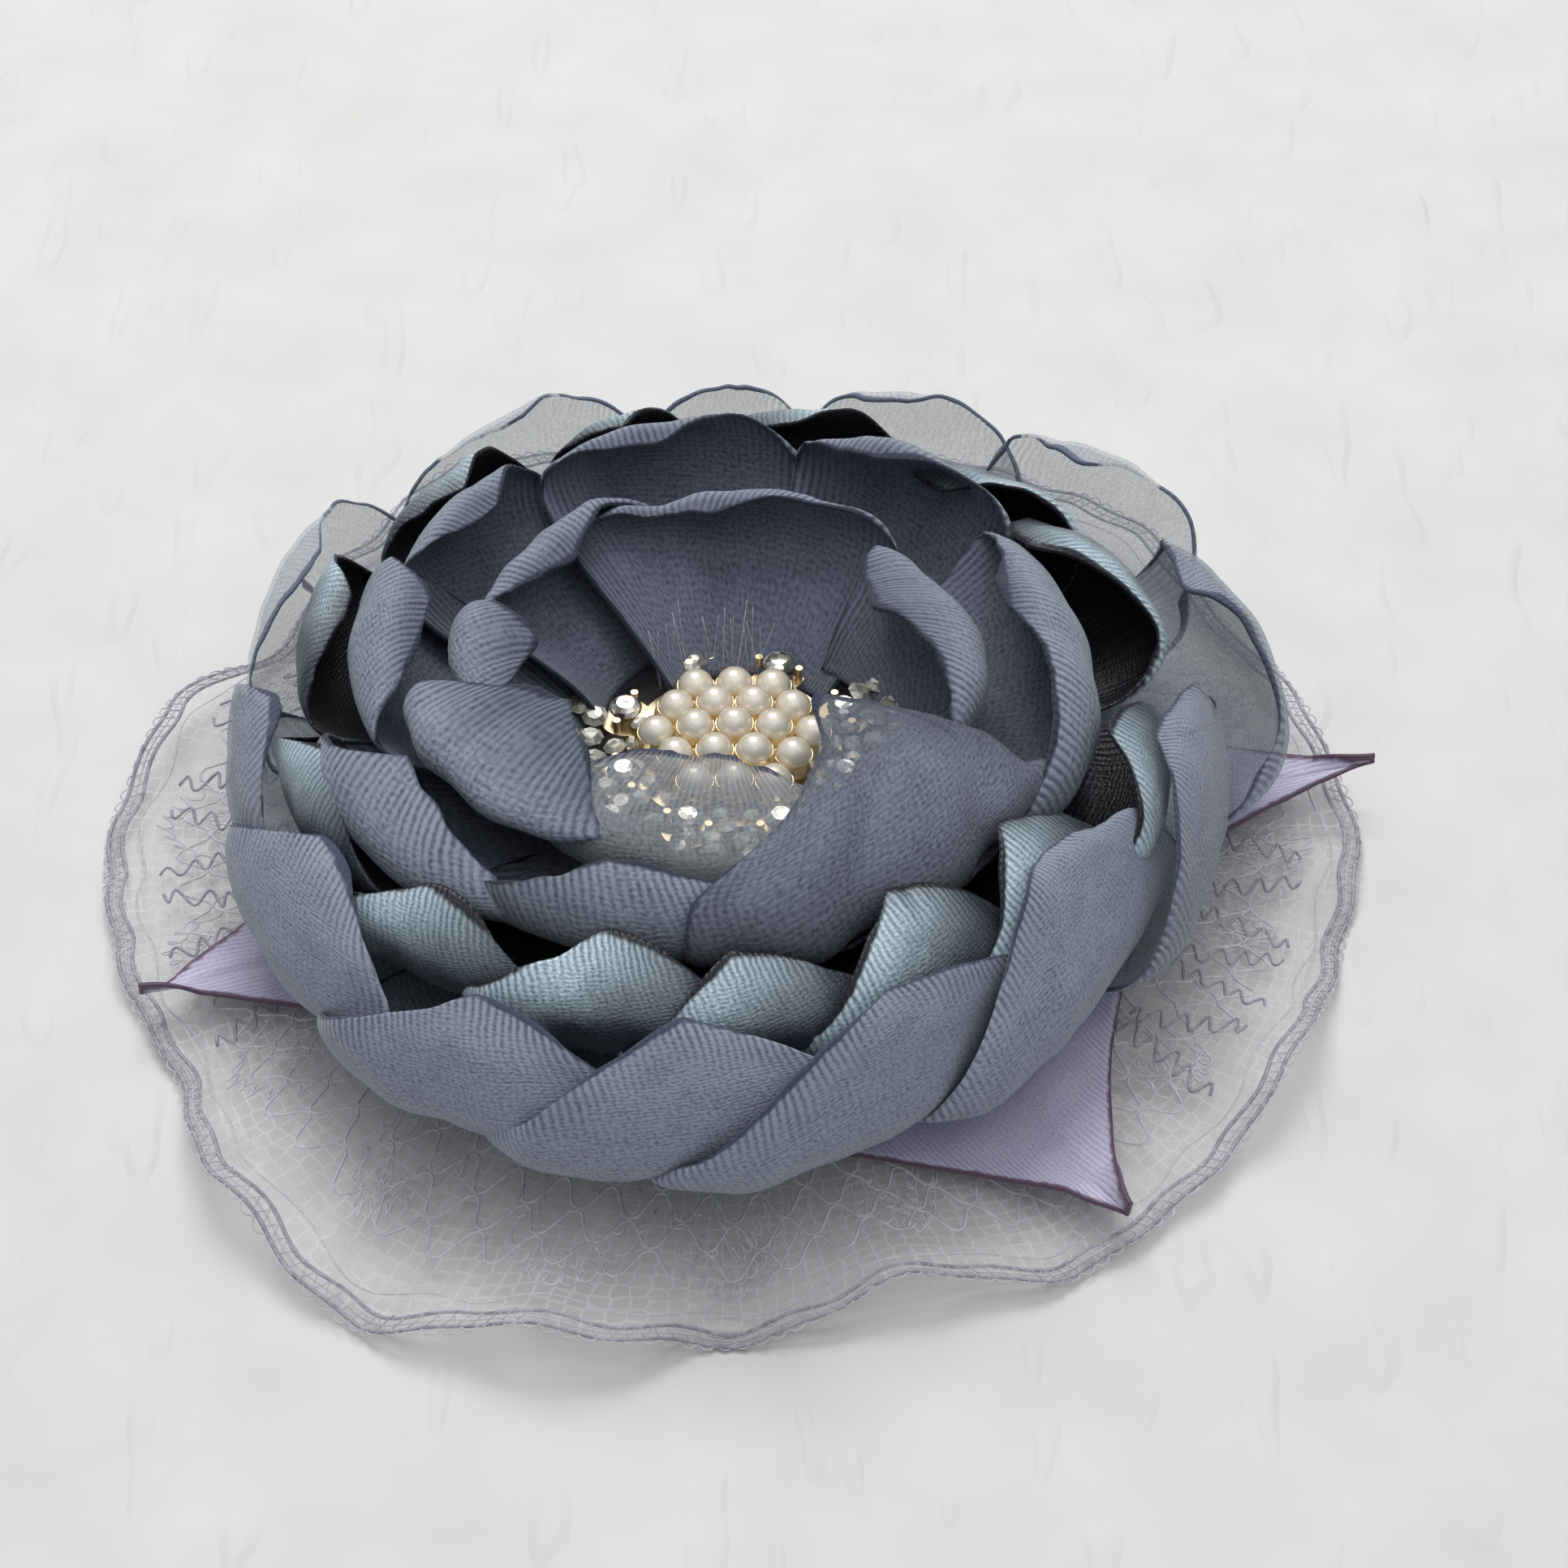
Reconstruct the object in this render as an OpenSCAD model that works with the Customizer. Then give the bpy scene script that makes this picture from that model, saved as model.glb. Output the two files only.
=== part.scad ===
// Fabric flower brooch lying on its back: cupped petals round a pearl setting,
// over pointed leaves and a lace ruffle, with a felt disc and a pin behind.
// Millimetres, +Z is up, z = 0 is the surface that the brooch lies on.

/* [Flower] */
// Radius of the petal flower at its widest ring
flower_r = 41.5; // [40.5:0.5:44]
// Height of the petals above their hub
cup_h = 15.6; // [15:0.2:18]
// Thickness of a petal's wall
petal_t = 1; // [0.8:0.05:1]

/* [Lace] */
// Mean radius of the lace ruffle
lace_r = 50; // [48:0.5:54]
// Thickness of the lace's wall
lace_t = 1; // [0.8:0.05:1]
// Share of each lace pitch that is open
mesh_open = 0.62; // [0.5:0.02:0.7]

/* [Leaves] */
// Distance of the leaf tips from the flower's middle
leaf_r = 49; // [46:0.5:52]
// Half width of a leaf at its base
leaf_w = 12; // [9:0.5:13]
// Thickness of a leaf's wall
leaf_t = 0.9; // [0.7:0.05:0.9]

/* [Setting] */
// Diameter of a pearl
pearl_d = 2.9; // [2.5:0.1:3]
// Free space between two pearls
pearl_gap = 0.15; // [0.12:0.01:0.2]
// Diameter of a crystal at its girdle
crystal_d = 2.6; // [2.2:0.1:2.8]
// Thickness of the gold plate
plate_t = 0.7; // [0.6:0.1:0.8]

/* [Back] */
// Radius of the felt disc
felt_r = 20; // [16:0.5:20]
// Thickness of the felt disc
felt_t = 1.5; // [1:0.1:1.6]
// Length of the brooch pin
pin_l = 28; // [22:1:32]
// Height of the brooch pin below the felt
pin_h = 2.75; // [2.5:0.05:3]
// Width of the pin's bar
bar_w = 5; // [4:0.5:7]
// Thickness of the pin's bar
bar_t = 0.8; // [0.6:0.1:1]
// Side of the pin's feet
foot = 4; // [3:0.5:5]
// Radius of the pin's stem
stem_r = 0.5; // [0.4:0.05:0.6]

/* [Hidden] */
$fn = 64;
// free space between two stacked pieces
gap = 0.25;
// how far the petals' hub lies above the lace's middle, in shares of the petals' height
hub_rise = 0.138 * cup_h;
// felt underside, lace level at the middle, level of the outermost petals' hub
felt_z = pin_h + gap;
lace_z = felt_z + felt_t + gap + lace_t / 2;
lace_h = lace_z - lace_t / 2;
base_z = lace_z + hub_rise;
// the ring profiles are drawn for this wall, and a thicker wall moves the inner rings further in
drawn_t = 1;
// underside of the gold plate, then the dome that carries the pearls
setting_z = base_z + 0.18 * cup_h;
stalk_z = felt_z + felt_t + gap;
dome_r = 18;
dome_h = 0.38 * pearl_d;
dome_top = setting_z + plate_t + dome_h;
// pearl places in a hexagon on the dome
pitch = pearl_d + pearl_gap;
PEARLS = [for (i = [-2 : 2], j = [-2 : 2]) if (abs(i + j) <= 2)
    [pitch * (i + j / 2), pitch * j * sqrt(3) / 2]];
// crystals in a ring round the pearls, each on a lobe between two prongs
crystals_n = 8;
dome_edge = 2 * pitch + 1.2;
crystal_ring = 2 * pitch + pearl_d / 2 + crystal_d / 2 + 0.45;
lobe_r = crystal_d / 2 + 0.8;
// the inner petals start outside the lobes
seat_r = crystal_ring + lobe_r + 1;
lace_in = dome_edge + 4 * gap + 0.7;
// cells across and along a leaf
leaf_cells = [4, 6];
// where the rows of a petal's cells lie: shares of its length at the lower corner, then on to the rim
PETAL_ROWS = [0, 0.4, 0.62, 0.76, 0.88, 1, 1.33, 1.67, 2];
// a petal is this share of its width at the hub, and lower at its corners
hub_width = 0.22;
corner_drop = 0.18;
// the free end of an outer petal stands off by this much
flare = 0.8;
// the whole flower leans this far to the right and to the back
lean_x = 0.048 * flower_r;
lean_y = 0.082 * flower_r;
lean_h = base_z + cup_h;

// The flower isn't round: one row per 45 degrees of azimuth, from the right, counterclockwise.
// columns: radius factor, height factor
AROUND = [
    [0.957, 1.02],
    [0.93, 0.93],
    [0.87, 0.87],
    [0.905, 0.9],
    [0.97, 0.95],
    [1.03, 0.97],
    [1.01, 0.98],
    [0.965, 1.06],
];

// Ring profiles from the hub to the rim. columns: share of the way from seat_r to flower_r, share of cup_h
OUTER_RING = [[-0.11, -0.026], [0.261, 0.058], [0.759, 0.006], [1.017, 0.154], [0.794, 0.731]];
SATIN_RING = [[0.076, 0.16], [0.254, 0.315], [0.564, 0.405], [0.704, 0.54], [0.598, 0.795]];
INNER_RING = [[0.01, 0.224], [0.141, 0.476], [0.405, 0.628], [0.515, 0.763], [0.385, 0.936]];
CENTRE_RING = [[0.01, 0.397], [0.076, 0.628], [0.179, 0.763], [0.244, 0.846], [0.234, 0.949]];
HOOD_RING = [[0.05, 0.51], [0.165, 0.78], [0.36, 0.93], [0.23, 1.01], [-0.085, 0.88]];
VEIL_RING = [[0.01, 0.45], [0.07, 0.64], [0.14, 0.78], [0.05, 0.85], [-0.11, 0.74]];

// Each ring. columns: profile, inward step per degree as a share of the wall, bulge of a petal's middle,
// flare, cells across, walls of the rings outside it, shift of its rim to the right as a share of
// flower_r, turn of its rim round the flower in degrees, share of its width lost at the rim
OUTER = [OUTER_RING, 0.08, 0.4, flare, 8, 0, 0, 0, 0.1];
SATIN = [SATIN_RING, 0.084, 0.3, 0, 6, 2.5, -0.03, 0, 0.1];
INNER = [INNER_RING, 0.041, 0.3, 0, 8, 5, -0.055, 0, 0.1];
CENTRE = [CENTRE_RING, 0.041, 0.2, 0, 6, 7.5, -0.065, 0, 0.1];
HOOD = [HOOD_RING, 0.02, 0.2, 0, 8, 7.5, -0.055, 14, 0.3];
VEIL = [VEIL_RING, 0.01, 0.2, 0, 6, 8, -0.05, 0, 0.1];

// Petals. columns: first azimuth, last azimuth, share of the profile it reaches, more at its last end
OUTER_PETALS = [
    [-10, 33, 0.95, 0.03],
    [21, 60, 0.96, 0.03],
    [50, 86, 0.97, 0.03],
    [78, 108, 0.9, 0.03],
    [99, 146, 0.95, 0.03],
    [135, 184, 0.97, 0.03],
    [170, 204, 0.9, 0.03],
    [190, 234, 0.9, 0.03],
    [219, 264, 0.87, 0.02],
    [239, 289, 0.9, 0.03],
    [264, 314, 0.88, 0.03],
    [289, 340, 0.97, 0.03],
    [318, 364, 0.97, 0.03],
];
SATIN_PETALS = [
    [5, 42, 0.84, 0.04],
    [30, 62, 0.97, 0.03],
    [60, 97, 0.97, 0.03],
    [92, 122, 0.93, 0.03],
    [118, 155, 0.97, 0.03],
    [150, 187, 0.97, 0.03],
    [182, 222, 0.86, 0.03],
    [208, 250, 0.84, 0.03],
    [230, 272, 0.87, 0.03],
    [253, 293, 0.87, 0.03],
    [276, 312, 0.95, 0.03],
    [296, 332, 0.97, 0.03],
    [322, 358, 0.9, 0.03],
];
INNER_PETALS = [
    [29, 78, 0.93, 0.03],
    [71, 126, 0.97, 0.03],
    [118, 162, 0.95, 0.03],
    [153, 200, 0.92, 0.03],
    [190, 238, 0.88, 0.03],
    [226, 290, 0.86, 0.03],
    [276, 330, 0.76, 0.02],
    [318, 400, 0.9, 0.03],
];
CENTRE_PETALS = [
    [-32, 50, 0.86, 0.03],
    [40, 128, 0.92, 0.03],
    [104, 166, 0.9, 0.03],
    [157, 200, 0.9, 0.03],
    [191, 228, 0.92, 0.03],
];
// the tall front petal that leans in over the setting, and the sheer one beside and below it
HOOD_PETAL = [262, 324, 1, 0];
VEIL_PETAL = [232, 300, 0.98, 0];

// Leaves. columns: azimuth, share of leaf_r, share of leaf_w, rise of the tip as a share of the lace's height
LEAVES = [
    [7, 1.02, 0.85, 0.34],
    [75, 0.98, 0.8, 0.25],
    [144, 0.93, 0.85, 0.3],
    [202, 1, 0.85, 0.25],
    [306, 0.97, 1.5, 0.34],
];

// Edge of the lace, one row per 15 degrees of azimuth. columns: share of lace_r, share of its height
LACE_EDGE = [
    [1.0, 0.116], [0.97, 0.646], [0.98, 0.061], [0.99, 0.735], [1.0, 0.359], [1.01, 0.061],
    [1.012, 0.525], [1.01, 0], [0.99, 0.691], [0.95, 0.226], [0.89, 0.105], [0.97, 0.602],
    [1.004, 0], [0.992, 0.226], [0.972, 0.083], [1.048, 0.856], [1.086, 0.105], [1.04, 0.901],
    [0.974, 0], [0.936, 0.691], [0.988, 0.083], [0.98, 0.226], [0.972, 0.812], [0.972, 0],
];
// Lace from the middle outwards: flat over the felt, then down to the folds.
// columns: share of the radius, share of the lace's height before the folds begin
LACE_ROWS = [
    [lace_in / lace_r, 1], [(felt_r + lace_t) / lace_r, 0.98], [0.66, 0.37], [0.77, 0.21],
    [0.84, 0.21], [0.87, 0.21], [0.94, 0.21], [1, 0.21],
];
lace_fold = 3;
open_rows = [3, 5];
lace_pitches = 48;
// cloth colours
LEAF_COLOUR = [0.69, 0.67, 0.76];
ORGANZA = [0.5, 0.53, 0.58];
NAVY = [0.24, 0.27, 0.33];
SLATE = [0.42, 0.45, 0.5];
PALE = [0.55, 0.57, 0.6];

// smooth curve through four values at t from 0 to 1, between b and c
function smooth_step(a, b, c, d, t) =
    0.5 * (2 * b + (c - a) * t + (2 * a - 5 * b + 4 * c - d) * t * t
        + (3 * b - a - 3 * c + d) * t * t * t);

// point at share s of an open row of points
function along(points, s) =
    let (last = len(points) - 1, p = min(max(s, 0), 1) * last, i = min(floor(p), last - 1))
    smooth_step(points[max(i - 1, 0)], points[i], points[i + 1], points[min(i + 2, last)], p - i);

// row of a table that closes round the flower, at an azimuth
function round_about(table, azimuth) =
    let (n = len(table), p = azimuth / 360 * n, i = floor(p))
    smooth_step(table[(i - 1 + 2 * n) % n], table[(i + 2 * n) % n],
        table[(i + 1 + 2 * n) % n], table[(i + 2 + 2 * n) % n], p - i);

// radius and height on a ring's profile
function profile(ring, s) =
    let (p = along(ring[0], s)) [seat_r + p[0] * (flower_r - seat_r), base_z + p[1] * cup_h];

// the same at an azimuth, where the flower isn't round
function shaped(ring, azimuth, s) =
    let (p = profile(ring, s), q = p[0] / flower_r, f = round_about(AROUND, azimuth))
    [p[0] * (1 + (f[0] - 1) * q * q), base_z + (p[1] - base_z) * f[1]];

// point of a ring at an azimuth, moved out from the profile by a distance
function ring_point(ring, azimuth, s, out) =
    let (
        p = shaped(ring, azimuth, s),
        d = shaped(ring, azimuth, s + 0.02) - shaped(ring, azimuth, s - 0.02),
        r = p[0] + out * d[1] / norm(d),
        z = p[1] - out * d[0] / norm(d),
        q = r / flower_r,
        far = min(s / 0.6, 1)
    )
    [r * cos(azimuth) + lean_x * q * q + ring[6] * flower_r * far * far * (3 - 2 * far),
        r * sin(azimuth) + lean_y * q * pow(z / lean_h, 2), z];

// share of its ring's profile that a petal reaches at u
function reach(row, u) =
    min(row[2] * (1 - corner_drop * pow(abs(u), 4)) + row[3] * u, 1);

// columns of cells lie closer together towards a petal's ends
function closer(x) = x * (1.3 - 0.3 * x * x);

// point of a petal: u from -1 to 1 across, v from 0 at the hub by 1 at the lower corner to 2 at the rim
function petal_point(ring, row, u, v, side) =
    let (
        low = reach(row, -1) - 0.03,
        s = low * min(v, 1) + (reach(row, u) - low) * max(v - 1, 0),
        width = (hub_width + (1 - hub_width) * min(s / 0.35, 1)) * (1 - ring[8] * pow(s, 4)),
        turn = (row[1] - row[0]) / 2 * u * width,
        azimuth = (row[0] + row[1]) / 2 + turn + ring[7] * pow(s, 3),
        grow = min(s / 0.3, 1),
        free = pow(max(-u, 0), 3) * min(max((s - 0.5) / 0.25, 0), 1)
    )
    ring_point(ring, azimuth, s,
        ring[2] * (1 - u * u) * grow - ring[1] * petal_t * turn - ring[5] * (petal_t - drawn_t)
            + ring[3] * free + side * petal_t / 2);

// solid sheet between two grids of points, each a list of equal rows
module sheet(upper, lower) {
    rows = len(upper);
    cols = len(upper[0]);
    half = rows * cols;
    top = [for (row = upper) each row];
    under = [for (row = lower) each row];
    polyhedron(
        points = concat(top, under),
        faces = concat(
            [for (i = [0 : rows - 2], j = [0 : cols - 2]) each let (a = i * cols + j) [
                [a, a + 1, a + cols + 1],
                [a, a + cols + 1, a + cols],
                [half + a, half + a + cols + 1, half + a + 1],
                [half + a, half + a + cols, half + a + cols + 1],
            ]],
            [for (j = [0 : cols - 2]) each let (a = j, b = (rows - 1) * cols + j) [
                [a, half + a, half + a + 1],
                [a, half + a + 1, a + 1],
                [b, b + 1, half + b + 1],
                [b, half + b + 1, half + b],
            ]],
            [for (i = [0 : rows - 2]) each let (a = i * cols, b = i * cols + cols - 1) [
                [a, a + cols, half + a + cols],
                [a, half + a + cols, half + a],
                [b, half + b + cols, b + cols],
                [b, half + b, half + b + cols],
            ]]
        ),
        convexity = 6
    );
}

// one petal of a ring
module petal(ring, row) {
    skins = [for (side = [1, -1])
        [for (i = [0 : ring[4]])
            [for (v = PETAL_ROWS) petal_point(ring, row, closer(2 * i / ring[4] - 1), v, side)]]];
    sheet(skins[0], skins[1]);
}

// level of the lace's middle before its folds, at a radius
function lace_level(r) =
    lace_t / 2 + lace_h * lookup(r / lace_r, LACE_ROWS);

// point of a leaf: u from -1 to 1 across, w from 0 at its base to 1 at its tip
function leaf_point(row, u, w, side) =
    let (
        inner = 0.57 * leaf_r,
        r = inner + (leaf_r * row[1] - inner) * w,
        half = leaf_w * row[2] * (0.05 + 0.95 * pow(1 - w, 1.35)),
        side_curl = 0.5 * u * u * w,
        z = lace_level(norm([r, half * u])) + (lace_t + leaf_t) / 2 + gap + row[3] * lace_h * pow(w, 3) + side_curl
    )
    [r * cos(row[0]) - half * u * sin(row[0]), r * sin(row[0]) + half * u * cos(row[0]),
        z + side * leaf_t / 2];

// one pointed leaf
module leaf(row) {
    skins = [for (side = [-1, 1])
        [for (i = [0 : leaf_cells[0]])
            [for (k = [0 : leaf_cells[1]]) leaf_point(row, 2 * i / leaf_cells[0] - 1, k / leaf_cells[1], side)]]];
    sheet(skins[0], skins[1]);
}

// azimuth of the lace's column k: an open column and a bar in every pitch
function lace_azimuth(k) = 360 / lace_pitches * (floor(k / 2) + (k % 2) * mesh_open);

// point of the lace's row m at column k
function lace_point(m, k, side) =
    let (
        azimuth = lace_azimuth(k),
        n = len(LACE_EDGE),
        p = azimuth / 360 * n,
        i = floor(p) % n,
        t = (1 - cos(180 * (p - floor(p)))) / 2,
        edge = LACE_EDGE[i] * (1 - t) + LACE_EDGE[(i + 1) % n] * t,
        start = LACE_ROWS[lace_fold][0],
        share = max(LACE_ROWS[m][0] - start, 0) / (1 - start),
        r = lace_r * (min(LACE_ROWS[m][0], start) + (edge[0] - start) * share),
        z = lace_t / 2 + lace_h * (LACE_ROWS[m][1] + (edge[1] - LACE_ROWS[m][1]) * pow(share, 1.3))
    )
    [r * cos(azimuth), r * sin(azimuth), z + side * lace_t / 2];

module felt_back() {
    color([0.78, 0.72, 0.6])
    translate([0, 0, felt_z])
    cylinder(h = felt_t, r = felt_r);
}

// bar against the felt, a foot at each end and the pin between the feet
module pin_back() {
    color([0.8, 0.8, 0.82]) {
        translate([-pin_l / 2, -bar_w / 2, pin_h - bar_t]) cube([pin_l, bar_w, bar_t]);
        for (side = [-1, 1])
            translate([side * (pin_l - foot) / 2 - foot / 2, -foot / 2, 0])
            cube([foot, foot, pin_h - bar_t / 2]);
        translate([-(pin_l - foot) / 2, 0, stem_r + gap])
        rotate([0, 90, 0])
        cylinder(h = pin_l - foot, r = stem_r);
    }
}

module lace_ruffle() {
    rows = len(LACE_ROWS);
    cols = 2 * lace_pitches;
    half = rows * cols;
    closed = [for (m = [0 : rows - 2]) [for (k = [0 : cols - 1])
        k % 2 == 1 || len(search(m, open_rows)) == 0]];
    color([0.72, 0.7, 0.74])
    polyhedron(
        points = [for (side = [1, -1], m = [0 : rows - 1], k = [0 : cols - 1]) lace_point(m, k, side)],
        faces = concat(
            [for (m = [0 : rows - 2], k = [0 : cols - 1]) if (closed[m][k])
                each let (a = m * cols + k, b = m * cols + (k + 1) % cols) [
                    [a, b, b + cols],
                    [a, b + cols, a + cols],
                    [half + a, half + b + cols, half + b],
                    [half + a, half + a + cols, half + b + cols],
                ]],
            // walls of the openings
            [for (m = open_rows, k = [0 : cols - 1]) if (!closed[m][k])
                each let (a = m * cols + k, b = m * cols + (k + 1) % cols, c = b + cols, d = a + cols) [
                    [a, b, half + b], [a, half + b, half + a],
                    [b, c, half + c], [b, half + c, half + b],
                    [c, d, half + d], [c, half + d, half + c],
                    [d, a, half + a], [d, half + a, half + d],
                ]],
            // inner and outer edge
            [for (k = [0 : cols - 1])
                each let (n = (k + 1) % cols, e = (rows - 1) * cols) [
                    [n, k, half + k], [n, half + k, half + n],
                    [e + k, e + n, half + e + n], [e + k, half + e + n, half + e + k],
                ]]
        ),
        convexity = 10
    );
}

module gold_setting() {
    color([0.84, 0.72, 0.5]) {
        translate([0, 0, setting_z]) cylinder(h = plate_t, r = crystal_ring - 0.9);
        translate([0, 0, stalk_z]) cylinder(h = setting_z + plate_t / 2 - stalk_z, r = dome_edge - 0.3);
        intersection() {
            translate([0, 0, dome_top - dome_r]) sphere(r = dome_r);
            translate([0, 0, setting_z + plate_t / 2]) cylinder(h = plate_t + 2 * dome_h, r = dome_edge);
        }
        for (k = [0 : crystals_n - 1])
            rotate([0, 0, (k + 0.5) * 360 / crystals_n]) {
                translate([crystal_ring, 0, setting_z]) cylinder(h = plate_t, r = lobe_r);
                for (side = [-1, 1])
                    translate([crystal_ring, side * (lobe_r - 0.38), setting_z + plate_t / 2])
                    cylinder(h = 1.6, r = 0.3);
            }
    }
}

module pearls() {
    seat = dome_r + pearl_d / 2 + 0.15;
    color([0.93, 0.89, 0.8])
    for (p = PEARLS)
        translate([p[0], p[1], dome_top - dome_r + sqrt(seat * seat - p[0] * p[0] - p[1] * p[1])])
        sphere(d = pearl_d);
}

// round cut stones: pavilion, girdle and crown with a flat table
module crystals() {
    deep = 0.34 * crystal_d;
    belt = 0.08 * crystal_d;
    high = 0.18 * crystal_d;
    color([0.9, 0.9, 0.88])
    for (k = [0 : crystals_n - 1])
        rotate([0, 0, (k + 0.5) * 360 / crystals_n])
        translate([crystal_ring, 0, setting_z + plate_t + 0.15]) {
            cylinder(h = deep, r1 = 0.12 * crystal_d, r2 = crystal_d / 2, $fn = 8);
            translate([0, 0, deep]) cylinder(h = belt, r = crystal_d / 2, $fn = 8);
            translate([0, 0, deep + belt]) cylinder(h = high, r1 = crystal_d / 2, r2 = 0.3 * crystal_d, $fn = 8);
        }
}

module leaf_1() { color(LEAF_COLOUR) leaf(LEAVES[0]); }
module leaf_2() { color(LEAF_COLOUR) leaf(LEAVES[1]); }
module leaf_3() { color(LEAF_COLOUR) leaf(LEAVES[2]); }
module leaf_4() { color(LEAF_COLOUR) leaf(LEAVES[3]); }
module leaf_5() { color(LEAF_COLOUR) leaf(LEAVES[4]); }
module outer_1() { color(ORGANZA) petal(OUTER, OUTER_PETALS[0]); }
module outer_2() { color(ORGANZA) petal(OUTER, OUTER_PETALS[1]); }
module outer_3() { color(ORGANZA) petal(OUTER, OUTER_PETALS[2]); }
module outer_4() { color(ORGANZA) petal(OUTER, OUTER_PETALS[3]); }
module outer_5() { color(ORGANZA) petal(OUTER, OUTER_PETALS[4]); }
module outer_6() { color(ORGANZA) petal(OUTER, OUTER_PETALS[5]); }
module outer_7() { color(ORGANZA) petal(OUTER, OUTER_PETALS[6]); }
module outer_8() { color(ORGANZA) petal(OUTER, OUTER_PETALS[7]); }
module outer_9() { color(ORGANZA) petal(OUTER, OUTER_PETALS[8]); }
module outer_10() { color(ORGANZA) petal(OUTER, OUTER_PETALS[9]); }
module outer_11() { color(ORGANZA) petal(OUTER, OUTER_PETALS[10]); }
module outer_12() { color(ORGANZA) petal(OUTER, OUTER_PETALS[11]); }
module outer_13() { color(ORGANZA) petal(OUTER, OUTER_PETALS[12]); }
module satin_1() { color(NAVY) petal(SATIN, SATIN_PETALS[0]); }
module satin_2() { color(NAVY) petal(SATIN, SATIN_PETALS[1]); }
module satin_3() { color(NAVY) petal(SATIN, SATIN_PETALS[2]); }
module satin_4() { color(NAVY) petal(SATIN, SATIN_PETALS[3]); }
module satin_5() { color(NAVY) petal(SATIN, SATIN_PETALS[4]); }
module satin_6() { color(NAVY) petal(SATIN, SATIN_PETALS[5]); }
module satin_7() { color(NAVY) petal(SATIN, SATIN_PETALS[6]); }
module satin_8() { color(NAVY) petal(SATIN, SATIN_PETALS[7]); }
module satin_9() { color(NAVY) petal(SATIN, SATIN_PETALS[8]); }
module satin_10() { color(NAVY) petal(SATIN, SATIN_PETALS[9]); }
module satin_11() { color(NAVY) petal(SATIN, SATIN_PETALS[10]); }
module satin_12() { color(NAVY) petal(SATIN, SATIN_PETALS[11]); }
module satin_13() { color(NAVY) petal(SATIN, SATIN_PETALS[12]); }
module inner_1() { color(SLATE) petal(INNER, INNER_PETALS[0]); }
module inner_2() { color(SLATE) petal(INNER, INNER_PETALS[1]); }
module inner_3() { color(SLATE) petal(INNER, INNER_PETALS[2]); }
module inner_4() { color(SLATE) petal(INNER, INNER_PETALS[3]); }
module inner_5() { color(SLATE) petal(INNER, INNER_PETALS[4]); }
module inner_6() { color(SLATE) petal(INNER, INNER_PETALS[5]); }
module inner_7() { color(SLATE) petal(INNER, INNER_PETALS[6]); }
module inner_8() { color(SLATE) petal(INNER, INNER_PETALS[7]); }
module centre_1() { color(SLATE) petal(CENTRE, CENTRE_PETALS[0]); }
module centre_2() { color(SLATE) petal(CENTRE, CENTRE_PETALS[1]); }
module centre_3() { color(SLATE) petal(CENTRE, CENTRE_PETALS[2]); }
module centre_4() { color(SLATE) petal(CENTRE, CENTRE_PETALS[3]); }
module centre_5() { color(SLATE) petal(CENTRE, CENTRE_PETALS[4]); }
module sheer_1() { color(PALE) petal(HOOD, HOOD_PETAL); }
module sheer_2() { color(PALE) petal(VEIL, VEIL_PETAL); }

felt_back();
pin_back();
lace_ruffle();
leaf_1();
leaf_2();
leaf_3();
leaf_4();
leaf_5();
outer_1();
outer_2();
outer_3();
outer_4();
outer_5();
outer_6();
outer_7();
outer_8();
outer_9();
outer_10();
outer_11();
outer_12();
outer_13();
satin_1();
satin_2();
satin_3();
satin_4();
satin_5();
satin_6();
satin_7();
satin_8();
satin_9();
satin_10();
satin_11();
satin_12();
satin_13();
inner_1();
inner_2();
inner_3();
inner_4();
inner_5();
inner_6();
inner_7();
inner_8();
centre_1();
centre_2();
centre_3();
centre_4();
centre_5();
sheer_1();
sheer_2();
gold_setting();
pearls();
crystals();
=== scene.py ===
import math
from collections import namedtuple

import bmesh
import bpy
from mathutils import Matrix, Vector, noise


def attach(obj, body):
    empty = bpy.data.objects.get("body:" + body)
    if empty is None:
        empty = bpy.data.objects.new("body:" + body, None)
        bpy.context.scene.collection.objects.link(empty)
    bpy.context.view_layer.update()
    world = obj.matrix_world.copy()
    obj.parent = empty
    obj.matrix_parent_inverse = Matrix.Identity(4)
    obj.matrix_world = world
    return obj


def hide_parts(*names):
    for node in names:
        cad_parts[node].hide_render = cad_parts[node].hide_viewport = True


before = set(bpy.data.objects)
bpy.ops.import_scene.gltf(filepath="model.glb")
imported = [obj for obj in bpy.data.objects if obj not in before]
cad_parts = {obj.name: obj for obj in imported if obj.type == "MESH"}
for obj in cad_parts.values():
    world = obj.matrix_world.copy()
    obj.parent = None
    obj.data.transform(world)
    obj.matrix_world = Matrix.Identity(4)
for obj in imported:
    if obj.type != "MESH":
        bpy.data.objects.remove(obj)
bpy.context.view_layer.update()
MM = 0.001
PI = math.pi
TURN = 2 * PI

# Sizes of the flower in millimetres, as in the part's source
FLOWER_R = 41.5
CUP_H = 15.6
BASE_Z = 7.4
LEAN_X = 0.048 * FLOWER_R
LEAN_Y = 0.082 * FLOWER_R
LEAN_H = BASE_Z + CUP_H
LEAF_R = 49.0
LEAF_W = 12.0
LEAF_T = 0.9
LACE_R = 50.0
LACE_T = 1.0
LACE_H = 4.75
LACE_IN = 0.3
FOLD_START = 0.66
GAP = 0.25
SETTING_Z = 10.21
PLATE_T = 0.7
DOME_R = 18.0
PEARL_D = 2.9
PEARL_PITCH = 3.05
CRYSTAL_D = 2.6
CRYSTAL_RING = 9.3

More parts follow.
